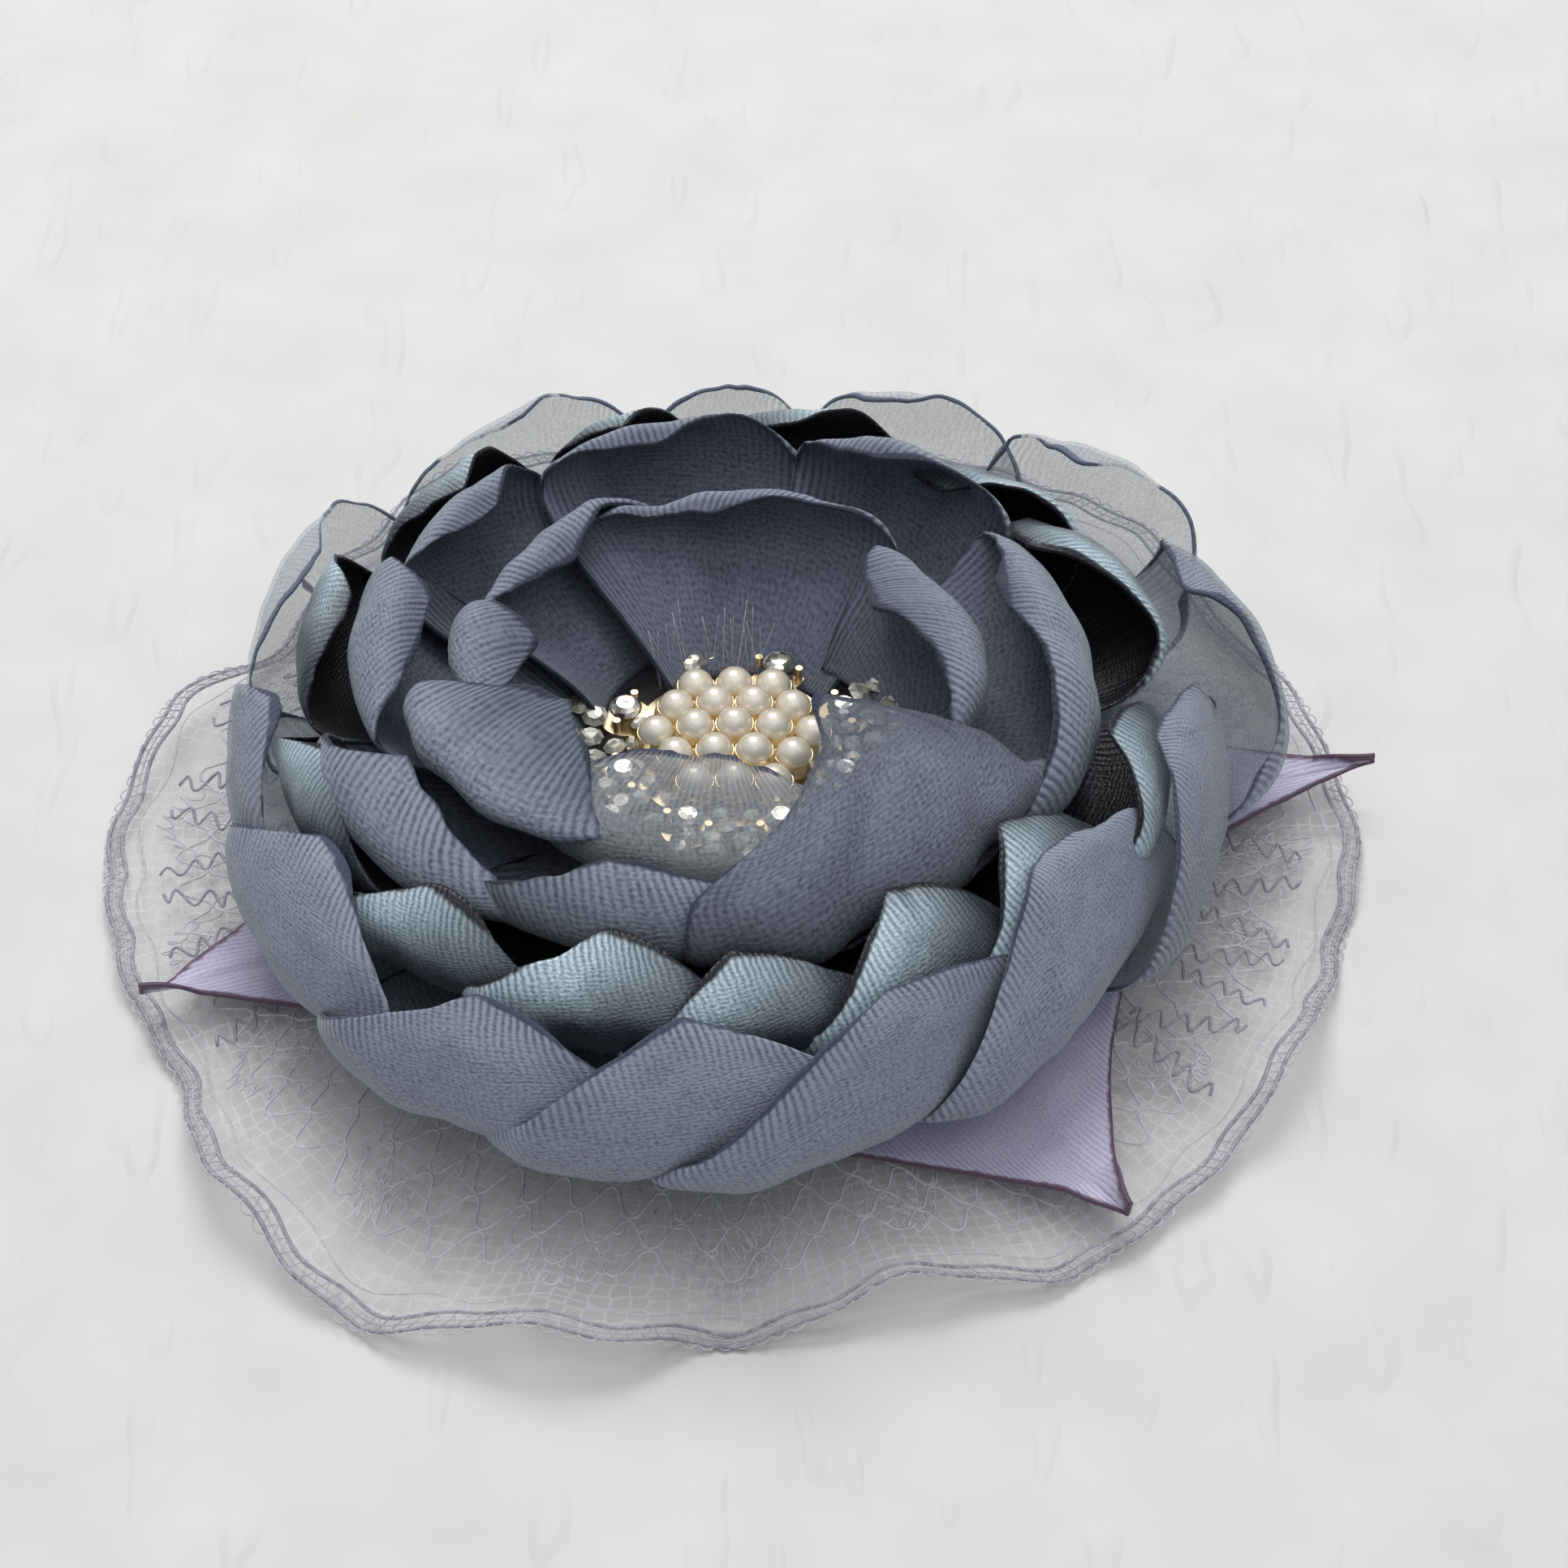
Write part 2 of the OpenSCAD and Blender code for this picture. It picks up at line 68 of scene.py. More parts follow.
# Sizes of the cloth in millimetres, fine things that only the scene has
CLOTH_T = 0.32
NET_T = 0.12
GATHER_PITCH = 2.6
GATHERED_RIM = 7.0
FLOOR_GAP = 0.25
LEAF_CLEAR = 0.3

# How far the flower is from round, one row per 45 degrees from +X: radius factor, height factor.
AROUND = [
    (0.957, 1.02), (0.93, 0.93), (0.87, 0.87), (0.905, 0.9),
    (0.97, 0.95), (1.03, 0.97), (1.01, 0.98), (0.965, 1.06),
]

# Ring profiles from the hub to the rim: radius and height of the round flower. The rims curl in.
OUTER_RING = [
    (9.2, 7.0), (21, 7.6), (32.5, 7.2), (39.3, 8.8), (41.2, 12.0), (40.2, 15.8), (37.6, 18.3), (34.2, 18.7),
]
SATIN_RING = [(14.6, 9.0), (23, 11.2), (30, 12.4), (34, 14.6), (34.4, 17.2), (32.6, 19.2), (29.8, 19.4)]
INNER_RING = [
    (12.0, 10.0), (18.5, 12.2), (24.4, 14.4), (28.0, 17.4), (28.2, 20.3), (26.6, 22.2), (24.2, 22.0),
]
CENTRE_RING = [
    (11.8, 11.2), (14.0, 14.2), (17.4, 17.2), (19.6, 19.6), (19.2, 21.4), (17.6, 22.2), (15.8, 21.6),
]
# The petal at the back of the bowl starts closer to the pearls.
BOWL_RING = [(8.3, 11.4), (12.2, 14.4), (16.6, 17.4), (19.4, 19.6)] + CENTRE_RING[4:]
VEIL_RING = [
    (13.5, 12.5), (18.0, 15.0), (21.2, 17.4), (21.4, 19.6), (18.4, 20.4), (13.6, 19.7), (9.4, 18.8),
]
HOOD_RING = [
    (13.0, 12.0), (20.0, 14.6), (24.6, 16.0), (27.4, 18.2), (26.4, 21.0), (22, 22.6), (16, 22), (9.8, 20.4),
]

# One row a petal: its two azimuths, the share of the profile that it reaches and how much more at its last
# end, the lean of its rim inwards, and how far it stands in low down at either end, in millimetres.
Row = namedtuple("Row", "first last reach more lean low_first low_last", defaults=(0, 0))
OUTER_PETALS = [
    Row(-10, 33, 0.95, 0.03, -1),
    Row(21, 60, 0.96, 0.03, -2.5),
    Row(50, 86, 0.93, 0.03, -1.5),
    Row(78, 108, 0.86, 0.03, -1.5),
    Row(99, 146, 0.95, 0.03, -3),
    Row(135, 184, 0.97, 0.03, -3.5),
    Row(170, 204, 0.9, 0.03, -1),
    Row(190, 234, 0.9, 0.02, 0),
    Row(216, 264, 0.84, 0.0, 0),
    Row(238, 286, 0.88, 0.03, 0, -0.6, 2),
    Row(255, 314, 0.87, 0.03, 1, -1, 7),
    Row(286, 340, 0.98, 0.03, 3.2, 3.6, 5.5),
    Row(318, 364, 0.97, 0.03, 2, 4.2, 2.8),
]
SATIN_PETALS = [
    Row(5, 42, 0.92, 0.04, 3.5),
    Row(30, 62, 0.97, 0.03, 3),
    Row(60, 97, 0.97, 0.03, 0),
    Row(92, 122, 0.93, 0.03, 0),
    Row(118, 155, 0.97, 0.03, 0),
    Row(150, 187, 0.97, 0.03, 0),
    Row(180, 222, 0.85, 0.03, 1),
    Row(208, 252, 0.82, 0.02, 1.5),
    Row(232, 276, 0.86, 0.0, 2.2),
    Row(250, 292, 0.82, 0.05, 2),
    Row(274, 312, 0.88, 0.03, 2.2),
    Row(294, 332, 0.88, 0.03, 2.4),
    Row(320, 358, 0.83, 0.03, 2),
]
INNER_PETALS = [
    Row(28, 78, 0.93, 0.03, 0.5),
    Row(71, 126, 0.97, 0.03, 0.5),
    Row(118, 162, 0.97, 0.03, 2.5),
    Row(150, 200, 0.96, 0.03, 3.5),
    Row(188, 244, 0.84, 0.0, 2.5, -3, -3),
    Row(222, 290, 0.84, 0.02, 0),
    Row(276, 330, 0.55, 0.0, 0),
    Row(316, 400, 0.9, 0.03, 1.5),
]
CENTRE_PETALS = [
    Row(-33, 50, 0.88, 0.03, 3),
    Row(40, 134, 0.93, 0.0, 0),
    Row(100, 168, 0.93, 0.02, 2),
    Row(156, 205, 0.93, 0.02, 4),
    Row(184, 250, 0.95, 0.0, 4.5, -4, -3),
]
HOOD_PETAL = Row(262, 336, 1.0, -0.1, 0)
VEIL_PETAL = Row(222, 300, 1.0, 0, 0)
# Which outer petals are one thin layer and which are laid double, and which centre petal is the bowl's back
SINGLE_LAYER = range(2, 7)
DOUBLE_LAYER = range(8, 13)
BOWL_BACK = 2

# Leaves: azimuth, share of the leaf radius, share of the leaf width, rise of the tip as a share of the
# lace's height
LEAVES = [
    (5.6, 1.06, 1.0, 0.34), (75, 0.98, 0.8, 0.25), (144, 0.93, 0.85, 0.3), (203, 1, 1.1, 0.25),
    (305, 1.0, 1.55, 0.34),
]
LEAF_ROOT = 0.57

# Edge of the lace, one row per 15 degrees: share of its radius, share of its height.
LACE_EDGE = [
    (1.0, 0.116), (0.97, 0.646), (0.98, 0.061), (0.99, 0.735), (1.0, 0.359), (1.01, 0.061),
    (1.012, 0.525), (1.01, 0), (0.99, 0.691), (0.95, 0.226), (0.89, 0.105), (0.97, 0.602),
    (1.004, 0), (0.992, 0.226), (0.972, 0.083), (1.048, 0.856), (1.086, 0.105), (1.04, 0.901),
    (0.974, 0), (0.936, 0.691), (0.988, 0.083), (0.98, 0.226), (0.972, 0.812), (0.972, 0),
]
# Level of the lace before its folds: share of its radius, share of its height.
LACE_LEVEL = [(0.18, 1), (0.42, 0.98), (0.66, 0.37), (0.77, 0.21), (1.2, 0.21)]


# Curves through tables
def smooth_step(a, b, c, d, t):
    """Smooth curve through four values, between b and c."""
    bend = (2 * a - 5 * b + 4 * c - d) * t * t
    twist = (3 * b - a - 3 * c + d) * t ** 3
    return 0.5 * (2 * b + (c - a) * t + bend + twist)


def along(points, s):
    """Point at share s of an open row of points."""
    last = len(points) - 1
    p = min(max(s, 0), 1) * last
    i = min(int(p), last - 1)
    rows = points[max(i - 1, 0)], points[i], points[i + 1], points[min(i + 2, last)]
    return [smooth_step(*column, p - i) for column in zip(*rows)]


def round_about(table, azimuth):
    """Row of a table that closes round the flower, at an azimuth."""
    n = len(table)
    p = azimuth / 360 * n
    i = math.floor(p)
    rows = [table[(i + k) % n] for k in (-1, 0, 1, 2)]
    return [smooth_step(*column, p - i) for column in zip(*rows)]


def level_at(rows, x):
    """Height at x on a broken line."""
    for (x0, y0), (x1, y1) in zip(rows, rows[1:]):
        if x <= x1:
            return y0 + (y1 - y0) * max(x - x0, 0) / (x1 - x0)
    return rows[-1][1]


def ease(x):
    """Soft start and end between 0 and 1."""
    x = min(max(x, 0), 1)
    return x * x * (3 - 2 * x)


def grain(x, y, seed):
    """Even noise from -1 to 1."""
    return noise.noise(Vector((x, y, seed * 7.31)))


def ring_point(profile, azimuth, s, out):
    """Point of a ring at an azimuth, moved out from its profile."""
    r, z = along(profile, s)
    (r0, z0), (r1, z1) = along(profile, s - 0.02), along(profile, s + 0.02)
    long = math.hypot(r1 - r0, z1 - z0)
    r += out * (z1 - z0) / long
    z -= out * (r1 - r0) / long
    q = r / FLOWER_R
    wide, tall = round_about(AROUND, azimuth)
    h = BASE_Z + (z - BASE_Z) * tall
    wide = r * (1 + (wide - 1) * q * q)
    a = math.radians(azimuth)
    x = wide * math.cos(a) + LEAN_X * q * q
    y = wide * math.sin(a) + LEAN_Y * q * (h / LEAN_H) ** 2
    return Vector((x, y, h))


# Materials: colours and nodes
def colour(code):
    """An sRGB hex value as linear red, green, blue and alpha."""
    parts = [int(code[i:i + 2], 16) / 255 for i in (1, 3, 5)]
    return tuple(p / 12.92 if p <= 0.04045 else ((p + 0.055) / 1.055) ** 2.4 for p in parts) + (1.0,)


def grey(level):
    """A plain value as a colour."""
    return (level, level, level, 1)


def fill(tree, target, inputs):
    """Fills a node's inputs, by name, by number or in their order. A socket is joined, a value is set."""
    for key, value in inputs.items() if isinstance(inputs, dict) else enumerate(inputs):
        if isinstance(value, bpy.types.NodeSocket):
            tree.links.new(value, target.inputs[key])
        else:
            target.inputs[key].default_value = value


def node(tree, kind, settings=None, inputs=(), stops=()):
    """Adds a node with its own settings and its inputs. Stops are the places and colours of a colour ramp."""
    new = tree.nodes.new("ShaderNode" + kind)
    for key, value in (settings or {}).items():
        setattr(new, key, value)
    fill(tree, new, inputs)
    if stops:
        elements = new.color_ramp.elements
        while len(elements) < len(stops):
            elements.new(0.5)
        for element, (share, tone) in zip(elements, stops):
            element.position = share
            element.color = tone
    return new


def new_material(name):
    """An empty material with its shader. Returns the material, its tree and the shader."""
    material = bpy.data.materials.new(name)
    material.use_nodes = True
    tree = material.node_tree
    return material, tree, tree.nodes["Principled BSDF"]


def bands(pitch):
    """Scale of the wave texture that repeats every pitch, since its phase grows by 20 in each unit."""
    return TURN / 20 / pitch


# Woven cloth
def woven_threads(tree, flat, edge, rib, weave, streaks, band, ribbing):
    """Height of the threads, 0 to about 1: crepe ribs along the rim and an even weave away from it."""
    wander = node(tree, "TexNoise", None, {"Vector": flat, "Scale": 0.12, "Detail": 0.0}).outputs["Color"]
    bent = node(tree, "VectorMath", {"operation": "MULTIPLY_ADD"}, (wander, (1.6, 1.6, 0), flat)).outputs[0]
    ribs = node(tree, "TexWave", {"bands_direction": "X"}, {
        "Vector": bent, "Scale": bands(rib), "Distortion": 1.0 + streaks, "Detail": 1.0, "Detail Scale": 1.5,
    }).outputs["Fac"]
    threads_across = node(tree, "TexWave", {"bands_direction": "Y"}, {
        "Vector": bent, "Scale": bands(weave), "Distortion": 3.0, "Detail": 0.0, "Detail Scale": 1.2,
    }).outputs["Fac"]
    speck = node(tree, "TexNoise", None, {"Vector": bent, "Scale": 1.3 / weave, "Detail": 2.0}).outputs["Fac"]
    speck = node(tree, "MapRange", None, (speck, 0.3, 0.7, 0.2, 0.8)).outputs[0]
    # the threads across them break the ribs into dots
    dots = node(tree, "Math", {"operation": "MULTIPLY"}, (ribs, 0.82)).outputs[0]
    ribs = node(tree, "Math", {"operation": "MULTIPLY_ADD"}, (speck, 0.4, dots)).outputs[0]
    # away from the rim, and in patches, the ribs fade into an even weave
    patch = node(tree, "TexNoise", None, {"Vector": flat, "Scale": 0.2, "Detail": 1.0}).outputs["Fac"]
    patch = node(tree, "MapRange", None, (patch, 0.36, 0.56, 0.5, 1.0)).outputs[0]
    near = node(tree, "MapRange", None, (edge, 0.5, band, ribbing, 0.14)).outputs[0]
    near = node(tree, "Math", {"operation": "MULTIPLY"}, (near, patch)).outputs[0]
    weft = node(tree, "Math", {"operation": "MULTIPLY_ADD"}, (threads_across, 0.22, speck)).outputs[0]
    return node(tree, "Mix", None, {0: near, 2: weft, 3: ribs}).outputs[0]


def inner_side(tree):
    """1 on the side of a petal that faces the flower's middle, 0 on its outward side."""
    normal = node(tree, "NewGeometry").outputs["Normal"]
    place_on = node(tree, "TexCoord").outputs["Object"]
    outward = node(tree, "VectorMath", {"operation": "MULTIPLY"}, (place_on, (1, 1, -0.3))).outputs[0]
    outward = node(tree, "VectorMath", {"operation": "NORMALIZE"}, (outward,)).outputs[0]
    facing_out = node(tree, "VectorMath", {"operation": "DOT_PRODUCT"}, (normal, outward)).outputs["Value"]
    return node(tree, "MapRange", None, (facing_out, -0.35, 0.15, 1.0, 0.0)).outputs[0]


def painted_rim_highlight(tree, edge, blotch, inside):
    """Mask of a highlight painted on the floats: along the rolled rim, on the outward side."""
    ragged_rim_distance = node(tree, "Math", {"operation": "MULTIPLY_ADD"}, (blotch, 5.0, edge)).outputs[0]
    painted_shine = node(tree, "MapRange", None, (ragged_rim_distance, 4.6, 9.5, 1.0, 0.0)).outputs[0]
    outside = node(tree, "Math", {"operation": "SUBTRACT"}, (1.0, inside)).outputs[0]
    painted_shine = node(tree, "Math", {"operation": "MULTIPLY"}, (painted_shine, outside)).outputs[0]
    # the painted highlight is most at the free end, and none where the next petal lies over it and shades it
    across = node(tree, "Attribute", {"attribute_name": "across"}).outputs["Fac"]
    free = node(tree, "MapRange", None, (across, -0.25, 0.75, 1.0, 0.0)).outputs[0]
    return node(tree, "Math", {"operation": "MULTIPLY"}, (painted_shine, free)).outputs[0]


def singed_line(tree, flat, edge, width):
    """1 on the dark uneven line of a singed edge, a few tenths of a millimetre wide."""
    fray = node(tree, "TexNoise", None, {"Vector": flat, "Scale": 1.1, "Detail": 2.0}).outputs["Fac"]
    ragged = node(tree, "Math", {"operation": "MULTIPLY_ADD"}, (fray, -0.55, edge)).outputs[0]
    return node(tree, "MapRange", None, (ragged, width - 0.32, width, 1.0, 0.0)).outputs[0]


def thread_cover(tree, cloth, singe, see_through, thin_rim):
    """Share of the light that the cloth stops: less between its threads, all of it at the singed rim."""
    thin, thick = see_through
    cover = node(tree, "MapRange", None, (cloth, 0.2, 1.2, thin, thick)).outputs[0]
    if thin_rim:
        tip = node(tree, "Attribute", {"attribute_name": "tip"}).outputs["Fac"]
        single = node(tree, "MapRange", None, (tip, thin_rim * 0.55, thin_rim, 0.5, 1.0)).outputs[0]
        cover = node(tree, "Math", {"operation": "MULTIPLY"}, (cover, single)).outputs[0]
    return node(tree, "Math", {"operation": "MAXIMUM"}, (cover, singe)).outputs[0]


def cloth_material(name, deep, light, rim, rib, weave, relief, look, see_through=None, streaks=0.0, band=6.0,
                   ribbing=0.92, thin_rim=0.0, inner_side_shade="#FFFFFF", painted_sheen_band=None, rim_line=0.2):
    """Woven cloth with a singed rim, on its own flat coordinates, so that scales are per millimetre of cloth.

    deep and light are the colours in and on the ribs, and rim that of the singed edge, rim_line wide. rib and
    weave are the pitches of the ribs and of the threads across them, and relief the depth of both. band is
    the width of the strip along the rim that shows ribs, and ribbing how clear they are there. look has the
    shader's own values. see_through is what the cloth covers between and on its threads, and half of that
    within thin_rim of the rim. streaks is the strength of a satin's long floats, and painted_sheen_band has
    the two colours of a highlight painted on them along the rim. inner_side_shade is a painted shade that
    darkens the side towards the flower's middle.
    """
    material, tree, shader = new_material(name)
    flat = node(tree, "UVMap", {"uv_map": "cloth"}).outputs[0]
    edge = node(tree, "Attribute", {"attribute_name": "rim"}).outputs["Fac"]
    cloth = woven_threads(tree, flat, edge, rib, weave, streaks, band, ribbing)
    blotch = node(tree, "TexNoise", None, {"Vector": flat, "Scale": 0.35, "Detail": 2.0}).outputs["Fac"]
    tone = node(tree, "Math", {"operation": "MULTIPLY_ADD"}, (blotch, 0.4, cloth)).outputs[0]
    shade = node(tree, "ValToRGB", None, (tone,), [(0.26, colour(deep)), (1.0, colour(light))]).outputs[0]
    inside = inner_side(tree)
    # painted shade: the side towards the flower's middle is multiplied by a darker colour
    shade = node(tree, "Mix", {"data_type": "RGBA", "blend_type": "MULTIPLY"},
                 {0: inside, 6: shade, 7: colour(inner_side_shade)}).outputs[2]
    # painted highlight: the steel-blue shine of the floats along the rim is painted into the colour
    if painted_sheen_band:
        low, high = painted_sheen_band
        painted_highlight = node(tree, "ValToRGB", None, (cloth,), [(0.1, colour(low)), (0.9, colour(high))]).outputs[0]
        painted_shine = painted_rim_highlight(tree, edge, blotch, inside)
        shade = node(tree, "Mix", {"data_type": "RGBA"}, {0: painted_shine, 6: shade, 7: painted_highlight}).outputs[2]
    singe = singed_line(tree, flat, edge, rim_line)
    shade = node(tree, "Mix", {"data_type": "RGBA"}, {0: singe, 6: shade, 7: colour(rim)}).outputs[2]
    height = cloth
    if streaks:
        drawn_out = node(tree, "VectorMath", {"operation": "MULTIPLY"}, (flat, (1.9, 0.12, 1))).outputs[0]
        floats = node(tree, "TexNoise", None, {"Vector": drawn_out, "Scale": 1.0, "Detail": 3.0})
        height = node(tree, "Math", {"operation": "MULTIPLY_ADD"}, (floats.outputs["Fac"], streaks, cloth))
        height = height.outputs[0]
    bump = node(tree, "Bump", None, {"Height": height, "Strength": 1.0, "Distance": relief * MM}).outputs[0]
    fill(tree, shader, {"Base Color": shade, "Normal": bump, **look})
    if see_through:
        fill(tree, shader, {"Alpha": thread_cover(tree, cloth, singe, see_through, thin_rim)})
    return material


# Polyester organza, woven with a crepe rib: matte and ribbed, and a single layer lets some light through
MATTE = {"Roughness": 0.72, "Sheen Weight": 0.2, "Sheen Roughness": 0.45, "Specular IOR Level": 0.25}
SOFTER = {**MATTE, "Roughness": 0.7}
outer_organza = cloth_material(
    "Crepe organza, outer", "#5D6577", "#AAB2BF", "#4A5264", 0.6, 0.42, 0.07, MATTE, see_through=(0.36, 0.78),
)
# the front petals are laid double, which hides what is behind them
double_organza = cloth_material(
    "Crepe organza, double", "#4B5366", "#9BA3B1", "#454D5F", 0.6, 0.42, 0.07, MATTE,
)
# a single layer at the back and the left, almost clear against the light
clear_organza = cloth_material(
    "Crepe organza, single", "#8D94A2", "#C6CCD4", "#6A7285", 0.6, 0.42, 0.05, MATTE,
    see_through=(0.16, 0.5), rim_line=0.55,
)
# the same organza with its colours painted darker for the inner rings, as painted shade in the bowl, and laid
# double, so that nothing shows through
inner_organza = cloth_material(
    "Crepe organza, inner", "#454E5E", "#969FAC", "#303746", 0.62, 0.42, 0.08, SOFTER, inner_side_shade="#B9B7C0",
)
# a single thin layer over the setting, which the stones glint through
sheer_organza = cloth_material(
    "Crepe organza, sheer", "#747982", "#A9ADB2", "#39405A", 0.6, 0.42, 0.07, SOFTER, see_through=(0.26, 0.56),
)
# the tall front petal is laid double low down and thins out to one layer over the setting
hood_organza = cloth_material(
    "Crepe organza, hood", "#3E4451", "#7B8290", "#39405A", 0.62, 0.42, 0.07, SOFTER,
    see_through=(0.9, 1.0), thin_rim=9.0, ribbing=0.45,
)
# polyester satin: smooth floats of near-black navy, with a broad steel-blue highlight painted along the rim
# and a painted shade on the side towards the middle
satin = cloth_material(
    "Duchess satin, navy", "#15161F", "#3A404D", "#14101A", 0.5, 0.3, 0.06,
    {"Roughness": 0.4, "Metallic": 0.25, "Specular IOR Level": 0.6, "Sheen Weight": 0.1},
    streaks=1.4, band=5.0, inner_side_shade="#5E5B68", painted_sheen_band=("#6C8492", "#DDF0F8"),
)
# lilac satin ribbon, lighter and softer in its shine
leaf_satin = cloth_material(
    "Ribbon satin, lilac", "#A09BB6", "#CBC6DC", "#5B4058", 0.42, 0.3, 0.025,
    {"Roughness": 0.42, "Specular IOR Level": 0.5, "Sheen Weight": 0.2}, streaks=0.8,
)


# Other finishes
def painted_board():
    """Painted board: nearly white and matte, with slow pebbles and a few low brush marks."""
    material, tree, shader = new_material("Painted board")
    place_on = node(tree, "TexCoord").outputs["Object"]
    pebble = node(tree, "TexNoise", None,
                  {"Vector": place_on, "Scale": 1 / (11.1 * MM), "Detail": 2.0}).outputs["Fac"]
    paint = node(tree, "ValToRGB", None, (pebble,), [(0.3, colour("#DEDDD8")), (0.75, colour("#E6E5E1"))])
    mark_size = (1 / (3.85 * MM), 1 / (11.1 * MM), 1)
    stroke = node(tree, "VectorMath", {"operation": "MULTIPLY"}, (place_on, mark_size)).outputs[0]
    marks = node(tree, "TexNoise", None, {"Vector": stroke, "Scale": 1.0, "Detail": 1.0}).outputs["Fac"]
    marks = node(tree, "MapRange", None, (marks, 0.6, 0.72)).outputs[0]
    relief = node(tree, "Math", {"operation": "MULTIPLY_ADD"}, (marks, 0.8, pebble)).outputs[0]
    bump = node(tree, "Bump", None, {"Height": relief, "Strength": 0.6, "Distance": 0.4 * MM})
    fill(tree, shader, {"Base Color": paint.outputs[0], "Normal": bump.outputs[0], "Roughness": 0.75})
    return material


def nylon_tulle():
    """Nylon tulle: a net of very fine thread, nearly clear, cloudier in places."""
    material, tree, shader = new_material("Nylon tulle")
    flat = node(tree, "UVMap", {"uv_map": "cloth"}).outputs[0]
    mesh_size = 1.1
    cell = node(tree, "TexVoronoi", {"feature": "DISTANCE_TO_EDGE", "voronoi_dimensions": "2D"},
                {"Vector": flat, "Scale": 1 / mesh_size, "Randomness": 0.35}).outputs["Distance"]
    thread = node(tree, "MapRange", None, (cell, 0.03, 0.12, 0.26, 0.05)).outputs[0]
    cloud = node(tree, "TexNoise", None, {"Vector": flat, "Scale": 0.25, "Detail": 1.0}).outputs["Fac"]
    cover = node(tree, "Math", {"operation": "MULTIPLY_ADD"}, (cloud, 0.14, thread)).outputs[0]
    white = node(tree, "ValToRGB", None, (cloud,), [(0.3, colour("#D9D9DC")), (0.7, colour("#ECECEC"))])
    fill(tree, shader, {"Base Color": white.outputs[0], "Alpha": cover, "Roughness": 0.6})
    return material


def spun_polyester(name, twist_mm, deep, light, roughness, relief):
    """Spun polyester: matte, with the light and dark of its twist, and its relief where that shows."""
    material, tree, shader = new_material(name)
    place_on = node(tree, "TexCoord").outputs["Object"]
    twist = node(tree, "TexNoise", None,
                 {"Vector": place_on, "Scale": 1 / (twist_mm * MM), "Detail": 2.0}).outputs["Fac"]
    shade = node(tree, "ValToRGB", None, (twist,), [(0.3, colour(deep)), (0.7, colour(light))])
    fill(tree, shader, {"Base Color": shade.outputs[0], "Roughness": roughness})
    if relief:
        bump = node(tree, "Bump", None, {"Height": twist, "Strength": 0.7, "Distance": relief * MM})
        fill(tree, shader, {"Normal": bump.outputs[0]})
    return material


def gold_plate():
    """Gold-plated brass: pale and a little rubbed, so that it is dull in places."""
    material, tree, shader = new_material("Gold-plated brass")
    place_on = node(tree, "TexCoord").outputs["Object"]
    rub = node(tree, "TexNoise", None,
               {"Vector": place_on, "Scale": 1 / (1.5 * MM), "Detail": 3.0}).outputs["Fac"]
    shade = node(tree, "ValToRGB", None, (rub,), [(0.3, colour("#D3B888")), (0.7, colour("#F0E0BC"))])
    dullness = node(tree, "ValToRGB", None, (rub,), [(0.3, grey(0.22)), (0.7, grey(0.4))])
    fill(tree, shader, {"Base Color": shade.outputs[0], "Roughness": dullness.outputs[0], "Metallic": 0.85})
    return material


def glass_pearl():
    """Glass pearl: a cream lacquer with a warm body under a clear coat, its colour painted greyer towards its
    outline as painted shade.
    """
    material, tree, shader = new_material("Glass pearl, cream")
    # painted shade: the colour turns greyer where the surface turns away from the view
    facing = node(tree, "LayerWeight", None, {"Blend": 0.4}).outputs["Facing"]
    shade = node(tree, "ValToRGB", None, (facing,),
                 [(0.0, colour("#F3ECDD")), (0.5, colour("#E2D6BF")), (1.0, colour("#A99C84"))])
    fill(tree, shader, {"Base Color": shade.outputs[0], "Roughness": 0.28, "Metallic": 0.15,
                        "Coat Weight": 1.0, "Coat Roughness": 0.06})
    return material


def cut_glass(name, facet_mm, stops, look):
    """Glass with facets, each painted a tone of its own from the stops, a painted reflection of the room."""
    material, tree, shader = new_material(name)
    place_on = node(tree, "TexCoord").outputs["Object"]
    facet = node(tree, "TexVoronoi", None,
                 {"Vector": place_on, "Scale": 1 / (facet_mm * MM)}).outputs["Color"]
    # painted reflections: each facet cell gets its own tone from the ramp
    shade = node(tree, "ValToRGB", None, (facet,), [(share, colour(code)) for share, code in stops])
    fill(tree, shader, {"Base Color": shade.outputs[0], **look})
    return material


def wool_felt():
    """Wool felt: matte and fuzzy."""
    material, tree, shader = new_material("Wool felt")
    place_on = node(tree, "TexCoord").outputs["Object"]
    fuzz = node(tree, "TexNoise", None,
                {"Vector": place_on, "Scale": 1 / (0.9 * MM), "Detail": 6.0, "Roughness": 0.7}).outputs["Fac"]
    shade = node(tree, "ValToRGB", None, (fuzz,), [(0.3, colour("#B9AE98")), (0.7, colour("#D8D0BE"))])
    bump = node(tree, "Bump", None, {"Height": fuzz, "Strength": 0.9, "Distance": 0.25 * MM})
    fill(tree, shader, {"Base Color": shade.outputs[0], "Normal": bump.outputs[0], "Roughness": 0.95,
                        "Sheen Weight": 0.5})
    return material


